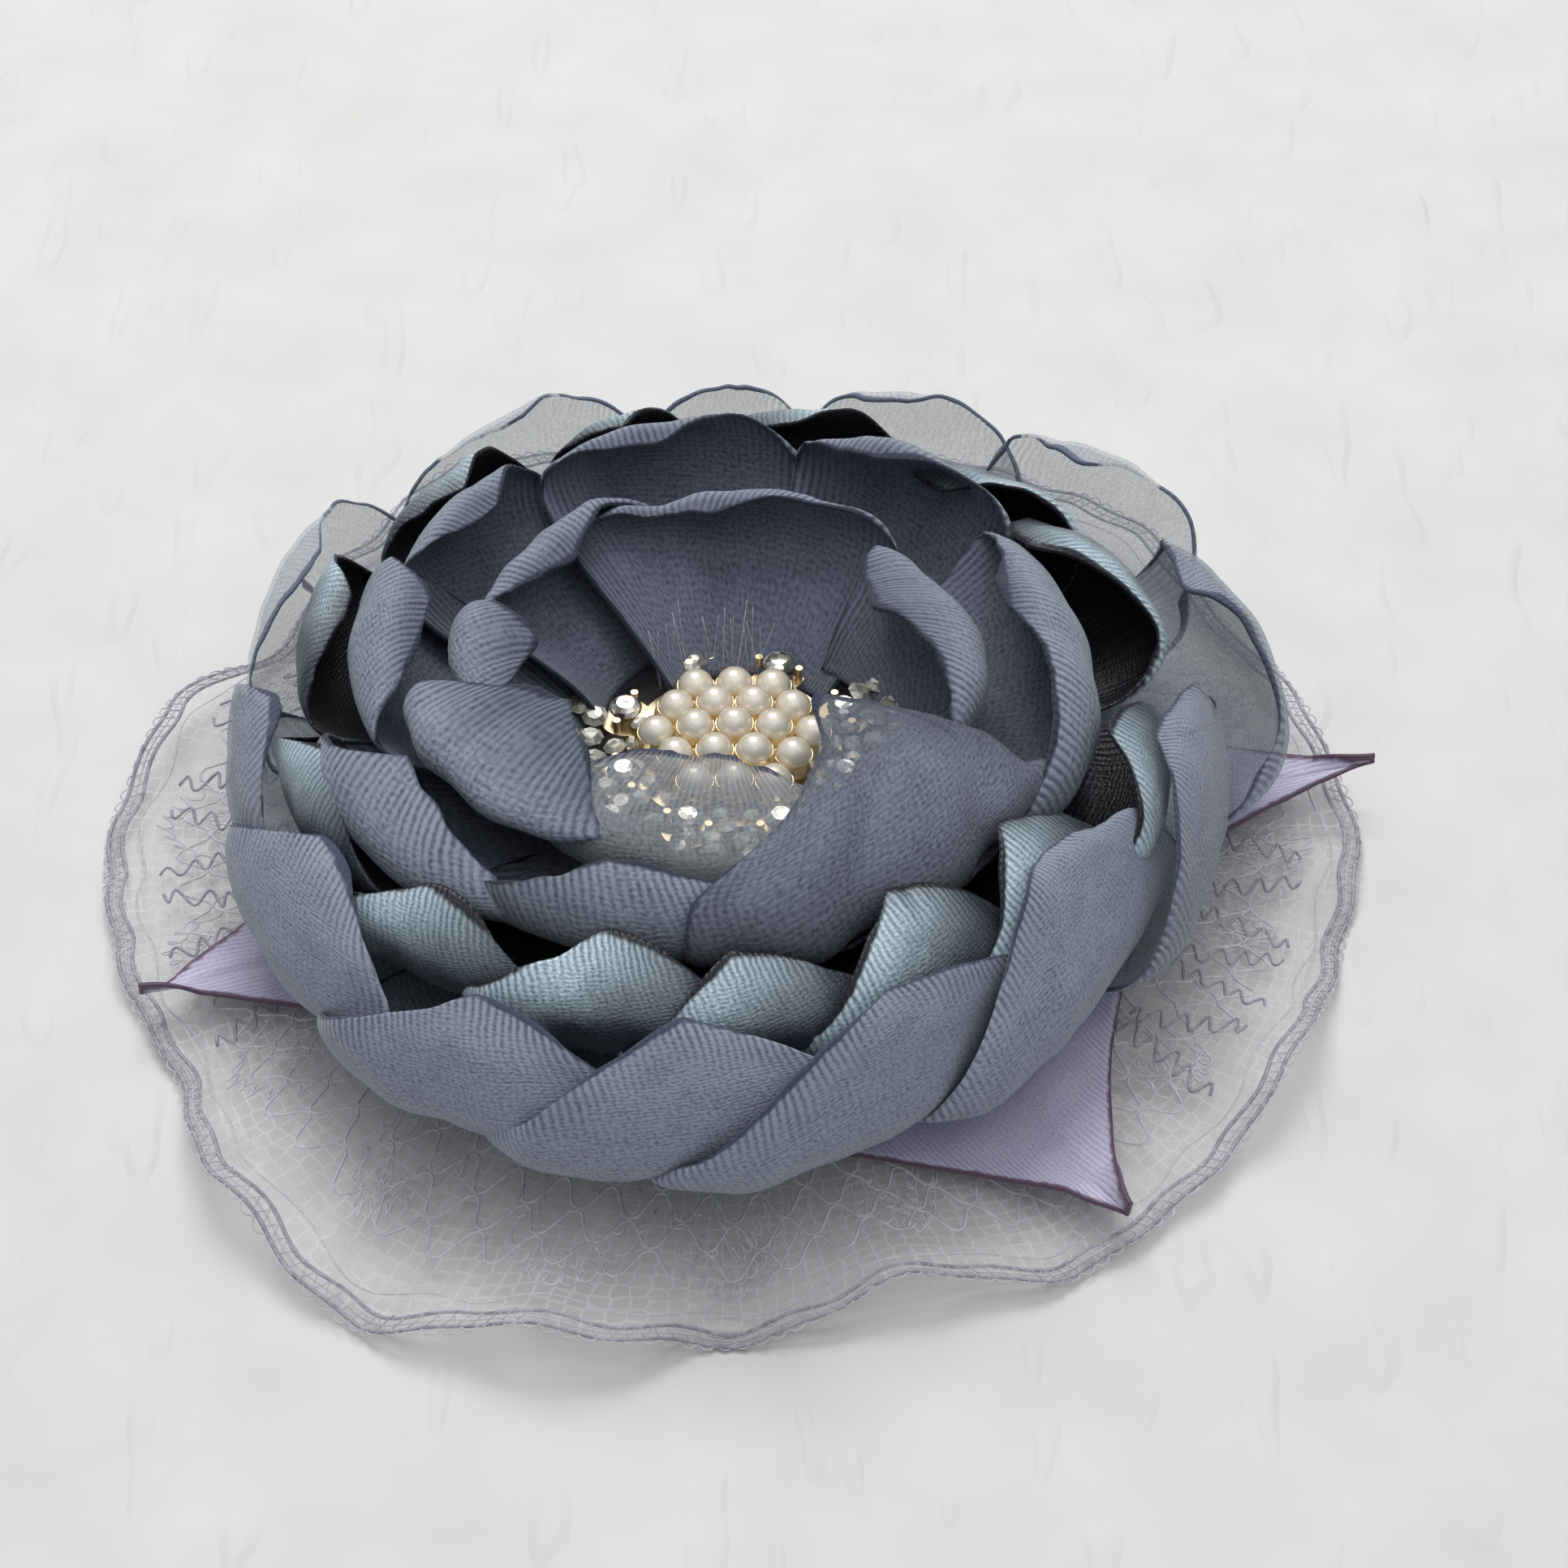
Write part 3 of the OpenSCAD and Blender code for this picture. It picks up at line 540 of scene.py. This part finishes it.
def nickel_steel():
    """Nickel-plated steel with fine lines, drawn along the bar."""
    material, tree, shader = new_material("Nickel-plated steel")
    place_on = node(tree, "TexCoord").outputs["Object"]
    line_size = (1 / (5 * MM), 1 / (0.25 * MM), 1 / (0.25 * MM))
    drawn = node(tree, "VectorMath", {"operation": "MULTIPLY"}, (place_on, line_size)).outputs[0]
    line = node(tree, "TexNoise", None, {"Vector": drawn, "Scale": 1.0, "Detail": 2.0}).outputs["Fac"]
    shade = node(tree, "ValToRGB", None, (line,), [(0.3, colour("#B4B4B6")), (0.7, colour("#D6D6D8"))])
    dullness = node(tree, "ValToRGB", None, (line,), [(0.3, grey(0.22)), (0.7, grey(0.38))])
    fill(tree, shader, {"Base Color": shade.outputs[0], "Roughness": dullness.outputs[0], "Metallic": 1.0})
    return material


# lilac grey and twisted for the corded edges, finer and whitish for the net and the fans
lace_cord = spun_polyester("Polyester lace cord", 0.7, "#8F8D9A", "#B9B7C2", 0.65, 0.08)
lace_thread = spun_polyester("Polyester lace thread", 0.9, "#C3C1CA", "#E0DEE3", 0.6, 0)
gold = gold_plate()
# cut glass with a silver foil behind it, its facets painted dark grey to white as painted reflections and
# glints
crystal_glass = cut_glass("Foiled crystal glass", 0.7,
                          [(0.25, "#5D594E"), (0.5, "#B9B5A6"), (0.75, "#FFFFFF")],
                          {"Metallic": 0.7, "Roughness": 0.08, "Coat Weight": 1.0})
# pressed glass with worn facets: the light spreads on it, and its facets are painted in greys as painted
# reflections
pressed_glass = cut_glass("Pressed glass", 0.6, [(0.2, "#6F6E66"), (0.5, "#A9A89B"), (0.8, "#DAD8CE")],
                          {"Metallic": 0.25, "Roughness": 0.3, "Coat Weight": 0.4})


# Making a piece
def finished(bm, name, material, smooth=True):
    """A mesh object from a bmesh, at the origin."""
    mesh = bpy.data.meshes.new(name)
    if smooth:
        for face in bm.faces:
            face.smooth = True
    bm.to_mesh(mesh)
    bm.free()
    obj = bpy.data.objects.new(name, mesh)
    bpy.context.collection.objects.link(obj)
    mesh.materials.append(material)
    return obj


def place(obj, replaced):
    """The piece rides on the brooch and may stand for a node of the frame."""
    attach(obj, "root")
    if replaced:
        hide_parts(replaced)


def give_wall(obj, thickness):
    """Gives a sheet its thickness, half on either side."""
    wall = obj.modifiers.new("Wall", "SOLIDIFY")
    wall.thickness = thickness * MM
    wall.offset = 0


def lay_flat(bm, flat, laid):
    """Writes each vertex's flat coordinates, in millimetres, to the UV layer."""
    for face in bm.faces:
        for loop in face.loops:
            loop[flat].uv = laid[loop.vert]


# Camera: it looks down at 45 degrees from 260 mm, the distance that a telephone has over a small brooch
FRAME_PX = 1932
FOCAL_PX = 4076
MIDDLE_PX = (905, 933)
LOOK_AT = Vector((0, 0, 10 * MM))
DISTANCE = 260 * MM
ELEVATION = PI / 4
camera_data = bpy.data.cameras.new("Camera")
camera_data.sensor_width = 36
camera_data.lens = FOCAL_PX / FRAME_PX * camera_data.sensor_width
camera_data.shift_x = (FRAME_PX / 2 - MIDDLE_PX[0]) / FRAME_PX
camera_data.shift_y = (MIDDLE_PX[1] - FRAME_PX / 2) / FRAME_PX
camera_data.clip_start = 0.01
camera = bpy.data.objects.new("Camera", camera_data)
camera.location = LOOK_AT + DISTANCE * Vector((0, -math.cos(ELEVATION), math.sin(ELEVATION)))
camera.rotation_euler = (PI / 2 - ELEVATION, 0, 0)
bpy.context.collection.objects.link(camera)
bpy.context.scene.camera = camera
bpy.context.scene.view_settings.view_transform = "Standard"
bpy.context.scene.cycles.transparent_max_bounces = 10


# Floor and light
def lay_floor(half_width=1.5):
    """A pale board under the brooch."""
    bm = bmesh.new()
    bmesh.ops.create_grid(bm, x_segments=1, y_segments=1, size=half_width)
    floor = finished(bm, "Floor", painted_board())


def soft_light(name, place_at, size, power, tint):
    """An area light that faces the flower."""
    data = bpy.data.lights.new(name, "AREA")
    data.size = size
    data.energy = power
    data.color = colour(tint)[:3]
    obj = bpy.data.objects.new(name, data)
    obj.location = place_at
    obj.rotation_euler = (LOOK_AT - Vector(place_at)).to_track_quat("-Z", "Y").to_euler()
    bpy.context.collection.objects.link(obj)


def light_room():
    """The room's own light: white from above, greyer from the sides."""
    world = bpy.data.worlds.new("Room")
    world.use_nodes = True
    tree = world.node_tree
    direction = node(tree, "TexCoord").outputs["Generated"]
    upward = node(tree, "SeparateXYZ", None, (direction,)).outputs[2]
    sky = node(tree, "ValToRGB", None, (upward,),
               [(0.0, colour("#8B9098")), (0.35, colour("#BFC6CF")), (1.0, colour("#FFFFFF"))])
    fill(tree, tree.nodes["Background"], {"Color": sky.outputs[0], "Strength": 0.56})
    bpy.context.scene.world = world


lay_floor()
soft_light("Window", (-0.08, 0.4, 0.7), 0.45, 3.5, "#FFFFFF")
soft_light("Ceiling", (0.1, -0.1, 0.9), 0.9, 1.8, "#F6F8FF")
light_room()


# Petals
class Ring:
    """What the petals of one ring have in common. Lengths in millimetres."""

    def __init__(self, profile, step, bulge, curl, radius, length, drop, pucker, wave, hub, material, slot,
                 shift=(0, 0), sweep=0, narrow=0.22, folds=0.3):
        self.profile = profile
        self.step = step  # inward step per degree, so that each petal tucks behind the next
        self.bulge = bulge  # crown of the middle
        self.curl = curl  # how far the free end turns in
        self.radius = radius  # where the petal is widest
        self.length = length  # from hub to rim
        self.drop = drop  # how much lower the free end is, as a share
        self.pucker = pucker  # depth of the small gathers at the rim
        self.wave = wave  # depth of the rim's slow waves
        self.hub = hub  # share of its width at the hub
        self.material = material
        self.slot = slot
        self.shift = Vector((*shift, 0))  # how far its rims stand off the middle
        self.sweep = sweep  # how far the rim turns on round the flower, in degrees
        self.narrow = narrow  # share of its width that a petal loses towards the rim
        self.folds = folds  # depth of the long soft folds that run up the petal


def petal_reach(ring, row, u):
    """Share of the profile that a petal reaches at u across it, from -1 to 1."""
    fall = (ring.drop if u < 0 else 0.3) * (1 - math.sqrt(1 - u * u)) ** (0.5 if u < 0 else 0.9)
    return row.reach * (1 - fall) + row.more * u


def stand_off(ring, seed, u, turned, x, y, grow, near):
    """How far the cloth stands off its profile, with its crown, folds, waves and gathers.

    turned is the azimuth from the petal's middle, x and y are its flat coordinates, grow rises from 0 at the
    hub to 1, and near from 0 to 1 at the rim.
    """
    nose = max(-u - 0.55, 0) / 0.45
    out = ring.bulge * (1 - abs(u) ** 2.5) * grow - ring.step * turned - ring.curl * nose ** 2 * grow
    out += 0.45 * grain(x / 8, y / 8, seed) * grow
    out += ring.folds * grain(x / 3.4, y / 20, seed + 3) * grow
    out += ring.wave * grain(x / 4.5, y / 14, seed + 5) * near
    gathers = math.sin(TURN * x / GATHER_PITCH + 4 * grain(x / 4, 0, seed + 9))
    return out + ring.pucker * near * gathers * (0.4 + 0.8 * grain(x / 5, 1, seed))


def stand_in(row, u, s):
    """How far a petal leans towards the flower's middle, at its rim and low down."""
    low = row.low_first + (row.low_last - row.low_first) * (u + 1) / 2
    belly = math.sin(PI * min(max((s - 0.15) / 0.8, 0), 1)) * (1 - abs(u) ** 3 * 0.4)
    return row.lean * ease((s - 0.5) / 0.45) + low * belly


def petal(name, ring, row, seed, material, cells=(46, 34)):
    """One petal: a grid laid on its ring's surface, with its gathers, waves and flat coordinates."""
    middle, half = (row.first + row.last) / 2, (row.last - row.first) / 2
    wide = math.radians(half) * ring.radius
    bm = bmesh.new()
    bmesh.ops.create_grid(bm, x_segments=cells[0], y_segments=cells[1], size=1)
    flat = bm.loops.layers.uv.new("cloth")
    rim_layer = bm.verts.layers.float.new("rim")
    tip_layer = bm.verts.layers.float.new("tip")
    across_layer = bm.verts.layers.float.new("across")
    slant = math.radians(12 + 10 * grain(seed, 2.7, 1))
    laid = {}
    for vert in bm.verts:
        u = vert.co.x
        v = 1 - (1 - (vert.co.y + 1) / 2) ** 1.25
        reach = petal_reach(ring, row, u)
        fine_jag = 0.4 / ring.length * grain(u * wide / GATHER_PITCH, 3.3, seed)
        slow_jag = 0.04 * grain(u * 1.6, 8.1, seed)
        s = min(v * reach + (fine_jag + slow_jag) * v ** 4, 1.0)
        share = ring.hub + (1 - ring.hub) * ease(s / 0.4)
        share *= 1 - ring.narrow * max(v - 0.5, 0) ** 2 / 0.25
        turned = half * u * share
        azimuth = middle + turned + ring.sweep * max(s - 0.55, 0) / 0.45
        x, y = u * wide * share, s * ring.length
        from_rim = (reach - s) * ring.length
        out = stand_off(ring, seed, u, turned, x, y, min(s / 0.3, 1), ease(1 - from_rim / GATHERED_RIM))
        a = math.radians(azimuth)
        lean = Vector((-math.cos(a), -math.sin(a), 0)) * stand_in(row, u, s)
        vert.co = (ring_point(ring.profile, azimuth, s, out) + lean + ring.shift * ease(s)) * MM
        vert[rim_layer] = max(min(from_rim, (1 - abs(u)) * wide * share), 0)
        vert[tip_layer] = from_rim
        vert[across_layer] = u
        laid[vert] = (x * math.cos(slant) + y * math.sin(slant), y * math.cos(slant) - x * math.sin(slant))
    lay_flat(bm, flat, laid)
    bmesh.ops.recalc_face_normals(bm, faces=bm.faces)
    outward = sum(f.normal.xy.dot(f.calc_center_median().xy) for f in bm.faces)
    if outward < 0:
        bmesh.ops.reverse_faces(bm, faces=bm.faces)
    area = sum(f.calc_area() for f in bm.faces)
    obj = finished(bm, name, material)
    give_wall(obj, CLOTH_T)
    place(obj, name.replace("petal_", ""))


def petals():
    """All petals, ring by ring. Each has a seed of its own for its folds."""
    outer = Ring(OUTER_RING, 0.078, 1.0, 1.6, 41, 50, 0.42, 0.1, 0.5, 0.8, outer_organza, "outer_organza")
    dark = Ring(SATIN_RING, 0.082, 1.2, 1.2, 32, 27, 0.42, 0.12, 0.5, 0.9, satin, "navy_satin", (-2.2, 0.5))
    inner = Ring(INNER_RING, 0.041, 1.0, 1.0, 26, 24, 0.4, 0.1, 0.4, 1.0, inner_organza, "inner_organza",
                 (-3.6, 1.2))
    centre = Ring(CENTRE_RING, 0.034, 0.7, 0.8, 19, 16, 0.35, 0.1, 0.3, 1.0, inner_organza, "inner_organza",
                  (-3.4, 0), folds=0.6)
    bowl = Ring(BOWL_RING, 0.034, 0.7, 0.8, 19, 18, 0.35, 0.1, 0.3, 1.0, inner_organza, "inner_organza",
                (-3.4, 0), folds=0.6)
    hood = Ring(HOOD_RING, 0.05, 0.5, 0.6, 26, 33, 0.2, 0.06, 0.5, 1.0, hood_organza, "sheer_organza",
                (-1, 0), sweep=25, narrow=0.6, folds=1.1)
    veil = Ring(VEIL_RING, 0.01, 0.3, 0.2, 20, 19, 0.12, 0.04, 0.25, 1.0, sheer_organza, "sheer_organza")
    layers = {**dict.fromkeys(SINGLE_LAYER, clear_organza), **dict.fromkeys(DOUBLE_LAYER, double_organza)}
    for number, row in enumerate(OUTER_PETALS, 1):
        petal(f"petal_outer_{number}", outer, row, 120 + number, layers.get(number, outer.material))
    for number, row in enumerate(SATIN_PETALS, 1):
        petal(f"petal_satin_{number}", dark, row, 120 + number, dark.material)
    for number, row in enumerate(INNER_PETALS, 1):
        petal(f"petal_inner_{number}", inner, row, 120 + number, inner.material)
    for number, row in enumerate(CENTRE_PETALS, 1):
        ring = bowl if number == BOWL_BACK else centre
        petal(f"petal_centre_{number}", ring, row, 140 + number, ring.material)
    petal("petal_sheer_1", hood, HOOD_PETAL, 121, hood.material)
    petal("petal_sheer_2", veil, VEIL_PETAL, 77, veil.material)


# Lace
def lace_point(azimuth, share, lift=0.0):
    """Point of the lace ruffle, share 0 at its inner edge and 1 at its outer one, lifted off its middle."""
    n = len(LACE_EDGE)
    p = azimuth / 360 * n
    i = math.floor(p)
    k = (1 - math.cos(PI * (p - i))) / 2
    reach, height = [a * (1 - k) + b * k for a, b in zip(LACE_EDGE[i % n], LACE_EDGE[(i + 1) % n])]
    q = LACE_IN + (1 - LACE_IN) * share
    fold = max(q - FOLD_START, 0) / (1 - FOLD_START)
    r = LACE_R * (min(q, FOLD_START) + (reach - FOLD_START) * fold)
    level = level_at(LACE_LEVEL, q)
    a = math.radians(azimuth)
    small_folds = 0.25 * fold * math.sin(37 * a + 2 * grain(azimuth / 40, 0, 3))
    z = LACE_T / 2 + LACE_H * (level + (height - level) * fold ** 1.3) + small_folds
    return Vector((r * math.cos(a), r * math.sin(a), max(z + lift, FLOOR_GAP))) * MM


def threads(name, lines, radius, material):
    """Round threads along lines of points, as one mesh."""
    data = bpy.data.curves.new(name, "CURVE")
    data.dimensions = "3D"
    data.bevel_depth = radius * MM
    data.bevel_resolution = 0
    data.use_fill_caps = True
    for points, closed in lines:
        line = data.splines.new("POLY")
        line.points.add(len(points) - 1)
        for point, where in zip(line.points, points):
            point.co = (*where, 1)
        line.use_cyclic_u = closed
    shape = bpy.data.objects.new(name + "_line", data)
    bpy.context.collection.objects.link(shape)
    mesh = bpy.data.meshes.new_from_object(shape.evaluated_get(bpy.context.evaluated_depsgraph_get()))
    bpy.data.objects.remove(shape)
    bm = bmesh.new()
    bm.from_mesh(mesh)
    bmesh.ops.remove_doubles(bm, verts=bm.verts, dist=1e-7)
    bpy.data.meshes.remove(mesh)
    return finished(bm, name, material)


def round_line(share, wave, pitch, start=0.0):
    """A closed line round the lace at a share of its width, scalloped, with the pitch in degrees."""
    count = 720
    turns = [k * 360 / count for k in range(count)]
    return [lace_point(turn, share + wave * math.cos(TURN * turn / pitch + start)) for turn in turns], True


def ladder_and_loops():
    """A ladder of stitches between the two cords, and tiny loops outside the edge."""
    ladder = [lace_point(k * 0.6, 0.968 if k % 2 else 0.998, 0.05) for k in range(600)]
    loops = [lace_point(k * 0.5, 1.0 + 0.014 * abs(math.sin(PI * k / 3))) for k in range(720)]
    return [(ladder, True), (loops, True)]


def fans():
    """Fans of crimped thread, more worn in some places than in others."""
    lines = []
    for k in range(20):
        middle = 18 * k + 5 * grain(k, 0.5, 2)
        for row, (reach, top) in enumerate(((7.0, 0.88), (5.2, 0.83), (3.2, 0.77))):
            worn_away = grain(k * 1.7, row * 2.3, 6) < -0.15
            if worn_away:
                continue
            points = []
            for i in range(91):
                v = i / 90 * 2 - 1
                azimuth = middle + reach * v + 0.5 * math.sin(34 * v + row)
                share = top - 0.2 * v * v + 0.02 * math.sin(34 * v + k) + 0.02 * grain(v * 3, row, k)
                points.append(lace_point(azimuth, share, 0.05))
            lines.append((points, False))
    return lines


def sprigs():
    """Pairs of crimped cords where the lace shows most."""
    lines = []
    for middle in (146, 158, 169, 181, 193, 205, 326, 338, 349, 1):
        for side in (-1, 1):
            points = []
            for i in range(61):
                v = i / 60
                crimp = (1.5 - 0.6 * v) * math.sin(TURN * 5 * v)
                azimuth = middle + side * (0.8 + 3.6 * v) + crimp * side
                share = 0.6 + 0.28 * v + 0.02 * grain(v * 4, middle, side)
                points.append(lace_point(azimuth, share, 0.08))
            lines.append((points, False))
    return lines


def coarse_net():
    """Rings of zigzag thread that meet at their points."""
    rings = []
    count = 528
    for m in range(7):
        line = []
        for k in range(count):
            swing = math.cos(TURN * k / 8)
            swing = math.copysign(abs(swing) ** 0.7, swing) * (1 if m % 2 else -1)
            line.append(lace_point(k * 360 / count, 0.36 + 0.075 * m + 0.036 * swing, 0.03))
        rings.append((line, True))
    return rings


def lace_sheet(cells=(480, 26), middle_r=40):
    """The ruffle's clear net. Returns the sheet and its area."""
    bm = bmesh.new()
    bmesh.ops.create_grid(bm, x_segments=cells[0], y_segments=cells[1], size=1)
    flat = bm.loops.layers.uv.new("cloth")
    laid = {}
    for vert in bm.verts:
        azimuth, share = 180 * (vert.co.x + 1), (vert.co.y + 1) / 2
        laid[vert] = (math.radians(azimuth) * middle_r, share * LACE_R * (1 - LACE_IN))
        vert.co = lace_point(azimuth, share)
    lay_flat(bm, flat, laid)
    bmesh.ops.remove_doubles(bm, verts=bm.verts, dist=1e-6)
    bmesh.ops.recalc_face_normals(bm, faces=bm.faces)
    area = sum(f.calc_area() for f in bm.faces)
    sheet = finished(bm, "lace_net", nylon_tulle())
    give_wall(sheet, NET_T)
    place(sheet, "lace_ruffle")
    return sheet, area


def lace():
    """The ruffle: clear net with corded edges, a ladder between them, fans, sprigs and a coarse net."""
    sheet, area = lace_sheet()
    edges = [round_line(1.0, 0.006, 9), round_line(0.968, 0.008, 9)]
    fine = [round_line(0.984, 0.006, 9), round_line(0.93, 0.012, 12, 1.0)] + ladder_and_loops() + fans()
    cords = threads("lace_cords", edges, 0.17, lace_cord)
    motifs = threads("lace_sprigs", sprigs(), 0.13, lace_cord)
    scrolls = threads("lace_scrolls", fine, 0.075, lace_thread)
    coarse = threads("lace_coarse_net", coarse_net(), 0.11, lace_thread)
    for extra in (cords, scrolls, motifs, coarse):
        place(extra, None)


# Leaves
def lace_level(r):
    """Level of the lace's middle before its folds."""
    return LACE_T / 2 + LACE_H * level_at(LACE_LEVEL, r / LACE_R)


def leaf(name, row, seed, cells=(24, 44)):
    """A pointed satin leaf: broad under the petals, hollow sides, a crease down it and a twisted tip."""
    azimuth, far, wide, rise = row
    bm = bmesh.new()
    bmesh.ops.create_grid(bm, x_segments=cells[0], y_segments=cells[1], size=1)
    flat = bm.loops.layers.uv.new("cloth")
    rim_layer = bm.verts.layers.float.new("rim")
    root = LEAF_ROOT * LEAF_R
    long = LEAF_R * far - root
    a = math.radians(azimuth)
    laid = {}
    for vert in bm.verts:
        u = vert.co.x
        w = 1 - (1 - (vert.co.y + 1) / 2) ** 1.3
        half = LEAF_W * wide * (0.03 + 0.97 * (1 - w) ** 1.45) + 0.3 * grain(w * 4, u, seed)
        r = root + long * w
        x = half * u
        crease = 0.7 * math.exp(-(u / 0.12) ** 2) * (1 - w)
        z = lace_level(math.hypot(r, x)) + (LACE_T + LEAF_T) / 2 + GAP + rise * LACE_H * w ** 3
        z += 0.5 * u * u * w - crease + 0.35 * grain(x / 5, r / 6, seed)
        laid[vert] = (x, r - root)
        vert[rim_layer] = min(half * (1 - abs(u)), long * (1 - w) * 0.6)
        twist = 1.4 * max(w - 0.8, 0) / 0.2
        x, z = x * math.cos(twist), max(z + x * math.sin(twist), LEAF_CLEAR)
        vert.co = Vector((r * math.cos(a) - x * math.sin(a), r * math.sin(a) + x * math.cos(a), z)) * MM
    lay_flat(bm, flat, laid)
    bmesh.ops.recalc_face_normals(bm, faces=bm.faces)
    if sum(f.normal.z for f in bm.faces) < 0:
        bmesh.ops.reverse_faces(bm, faces=bm.faces)
    area = sum(f.calc_area() for f in bm.faces)
    obj = finished(bm, name, leaf_satin)
    give_wall(obj, CLOTH_T)
    place(obj, name.replace("_satin", ""))
    width, length = round(2 * LEAF_W * wide * MM, 4), round(long * MM, 4)
    area = round(max(area, 0.31 * width * length), 6)


# Setting and stones
def dress_frame():
    """The nodes of the frame whose shape stays get their finish."""
    finishes = {
        "gold_setting": gold, "pearls": glass_pearl(), "felt_back": wool_felt(), "pin_back": nickel_steel(),
    }
    for name, material in finishes.items():
        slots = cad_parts[name].data.materials
        slots.clear()
        slots.append(material)


def add_cone(bm, where, segments, low, high, tall):
    """A cone between a low and a high radius, in millimetres, with its middle where the matrix says."""
    bmesh.ops.create_cone(bm, cap_ends=True, segments=segments, radius1=low * MM, radius2=high * MM,
                          depth=tall * MM, matrix=where)


def at(x, y, z):
    """The matrix that moves a shape to a point in millimetres."""
    return Matrix.Translation(Vector((x, y, z)) * MM)


def pearl_cups():
    """Two rings of gold under each pearl, one on the other."""
    bm = bmesh.new()
    top = SETTING_Z + PLATE_T + 1.1
    seat = DOME_R + PEARL_D / 2 + 0.15
    for i in range(-2, 3):
        for j in range(-2, 3):
            if abs(i + j) > 2:
                continue
            x, y = PEARL_PITCH * (i + j / 2), PEARL_PITCH * j * math.sqrt(3) / 2
            z = top - DOME_R + math.sqrt(seat * seat - x * x - y * y)
            for lower, size in ((0.12, 1.62), (0.62, 1.72)):
                add_cone(bm, at(x, y, z - lower), 20, size + 0.1, size * 0.93, 0.55)
    place(finished(bm, "pearl_cups", gold, smooth=False), None)


def stones():
    """Round cut stones on the lobes: pavilion, girdle and the two steps of the crown, sixteen sided."""
    bm = bmesh.new()
    d = CRYSTAL_D
    base = SETTING_Z + PLATE_T + 0.15
    # storeys as shares of the stone's width: height of the foot, lower and upper radius, depth
    storeys = ((0, 0.12, 0.5, 0.34), (0.34, 0.5, 0.5, 0.06), (0.4, 0.5, 0.42, 0.1), (0.5, 0.42, 0.28, 0.1))
    for k in range(8):
        a = (k + 0.5) * PI / 4
        for foot, low, high, tall in storeys:
            where = at(CRYSTAL_RING * math.cos(a), CRYSTAL_RING * math.sin(a), base + (foot + tall / 2) * d)
            add_cone(bm, where, 16, low * d, high * d, tall * d)
    place(finished(bm, "cut_stones", crystal_glass, smooth=False), "crystals")


def small_stones():
    """Small cut stones strewn round the pearls in four rings, in front, where the veil glints over them."""
    bm = bmesh.new()
    lobe_ring = CRYSTAL_RING + 0.1
    for ring, count, size in ((7.9, 22, 1.5), (lobe_ring, 26, 1.9), (11.2, 26, 2.2), (12.9, 26, 2.2)):
        for k in range(count):
            a = TURN * (k + 0.4 * grain(k, ring, 4)) / count
            r = ring + 0.5 * grain(ring, k, 5)
            turned = math.degrees(a) % 360
            behind = 30 < turned < 160
            on_lobe = ring == lobe_ring and abs(turned % 45 - 22.5) < 9
            if behind or on_lobe:
                continue
            z = SETTING_Z + PLATE_T + 0.7 + 0.25 * max(r - 9, 0) + 0.3 * grain(k, ring, 6)
            tilt = Matrix.Rotation(0.6 * grain(k, ring, 7), 4, "X")
            tilt = tilt @ Matrix.Rotation(0.6 * grain(k, ring, 8), 4, "Y")
            where = at(r * math.cos(a), r * math.sin(a), z) @ tilt
            for foot, low, high, tall in ((-0.35, 0.1, 0.5, 0.35), (0, 0.5, 0.28, 0.2)):
                middle = where @ at(0, 0, (foot + tall / 2) * size)
                add_cone(bm, middle, 8, low * size, high * size, tall * size)
    place(finished(bm, "small_stones", pressed_glass, smooth=False), None)


def loose_threads():
    """Fine pale threads that stand up behind the pearls, frayed from the gathered cloth."""
    lines = []
    for k in range(26):
        azimuth = 100 + 60 * grain(k * 0.7, 1, 11)
        foot, tall = 8.9 + 0.8 * grain(k * 0.9, 2, 11), 4.4 + 3.4 * grain(k * 0.8, 3, 11)
        points = []
        for i in range(9):
            v = i / 8
            a = math.radians(azimuth + 16 * v * grain(k * 0.6, 4, 12))
            r = foot + 1.4 * v + 2 * v * v * grain(k * 0.7, 5, 12)
            points.append(Vector((r * math.cos(a), r * math.sin(a), SETTING_Z + 0.9 + tall * v)) * MM)
        lines.append((points, False))
    place(threads("loose_threads", lines, 0.025, lace_thread), None)


petals()
lace()
for leaf_number, leaf_row in enumerate(LEAVES, 1):
    leaf(f"leaf_{leaf_number}_satin", leaf_row, leaf_number)
dress_frame()
pearl_cups()
stones()
small_stones()
loose_threads()
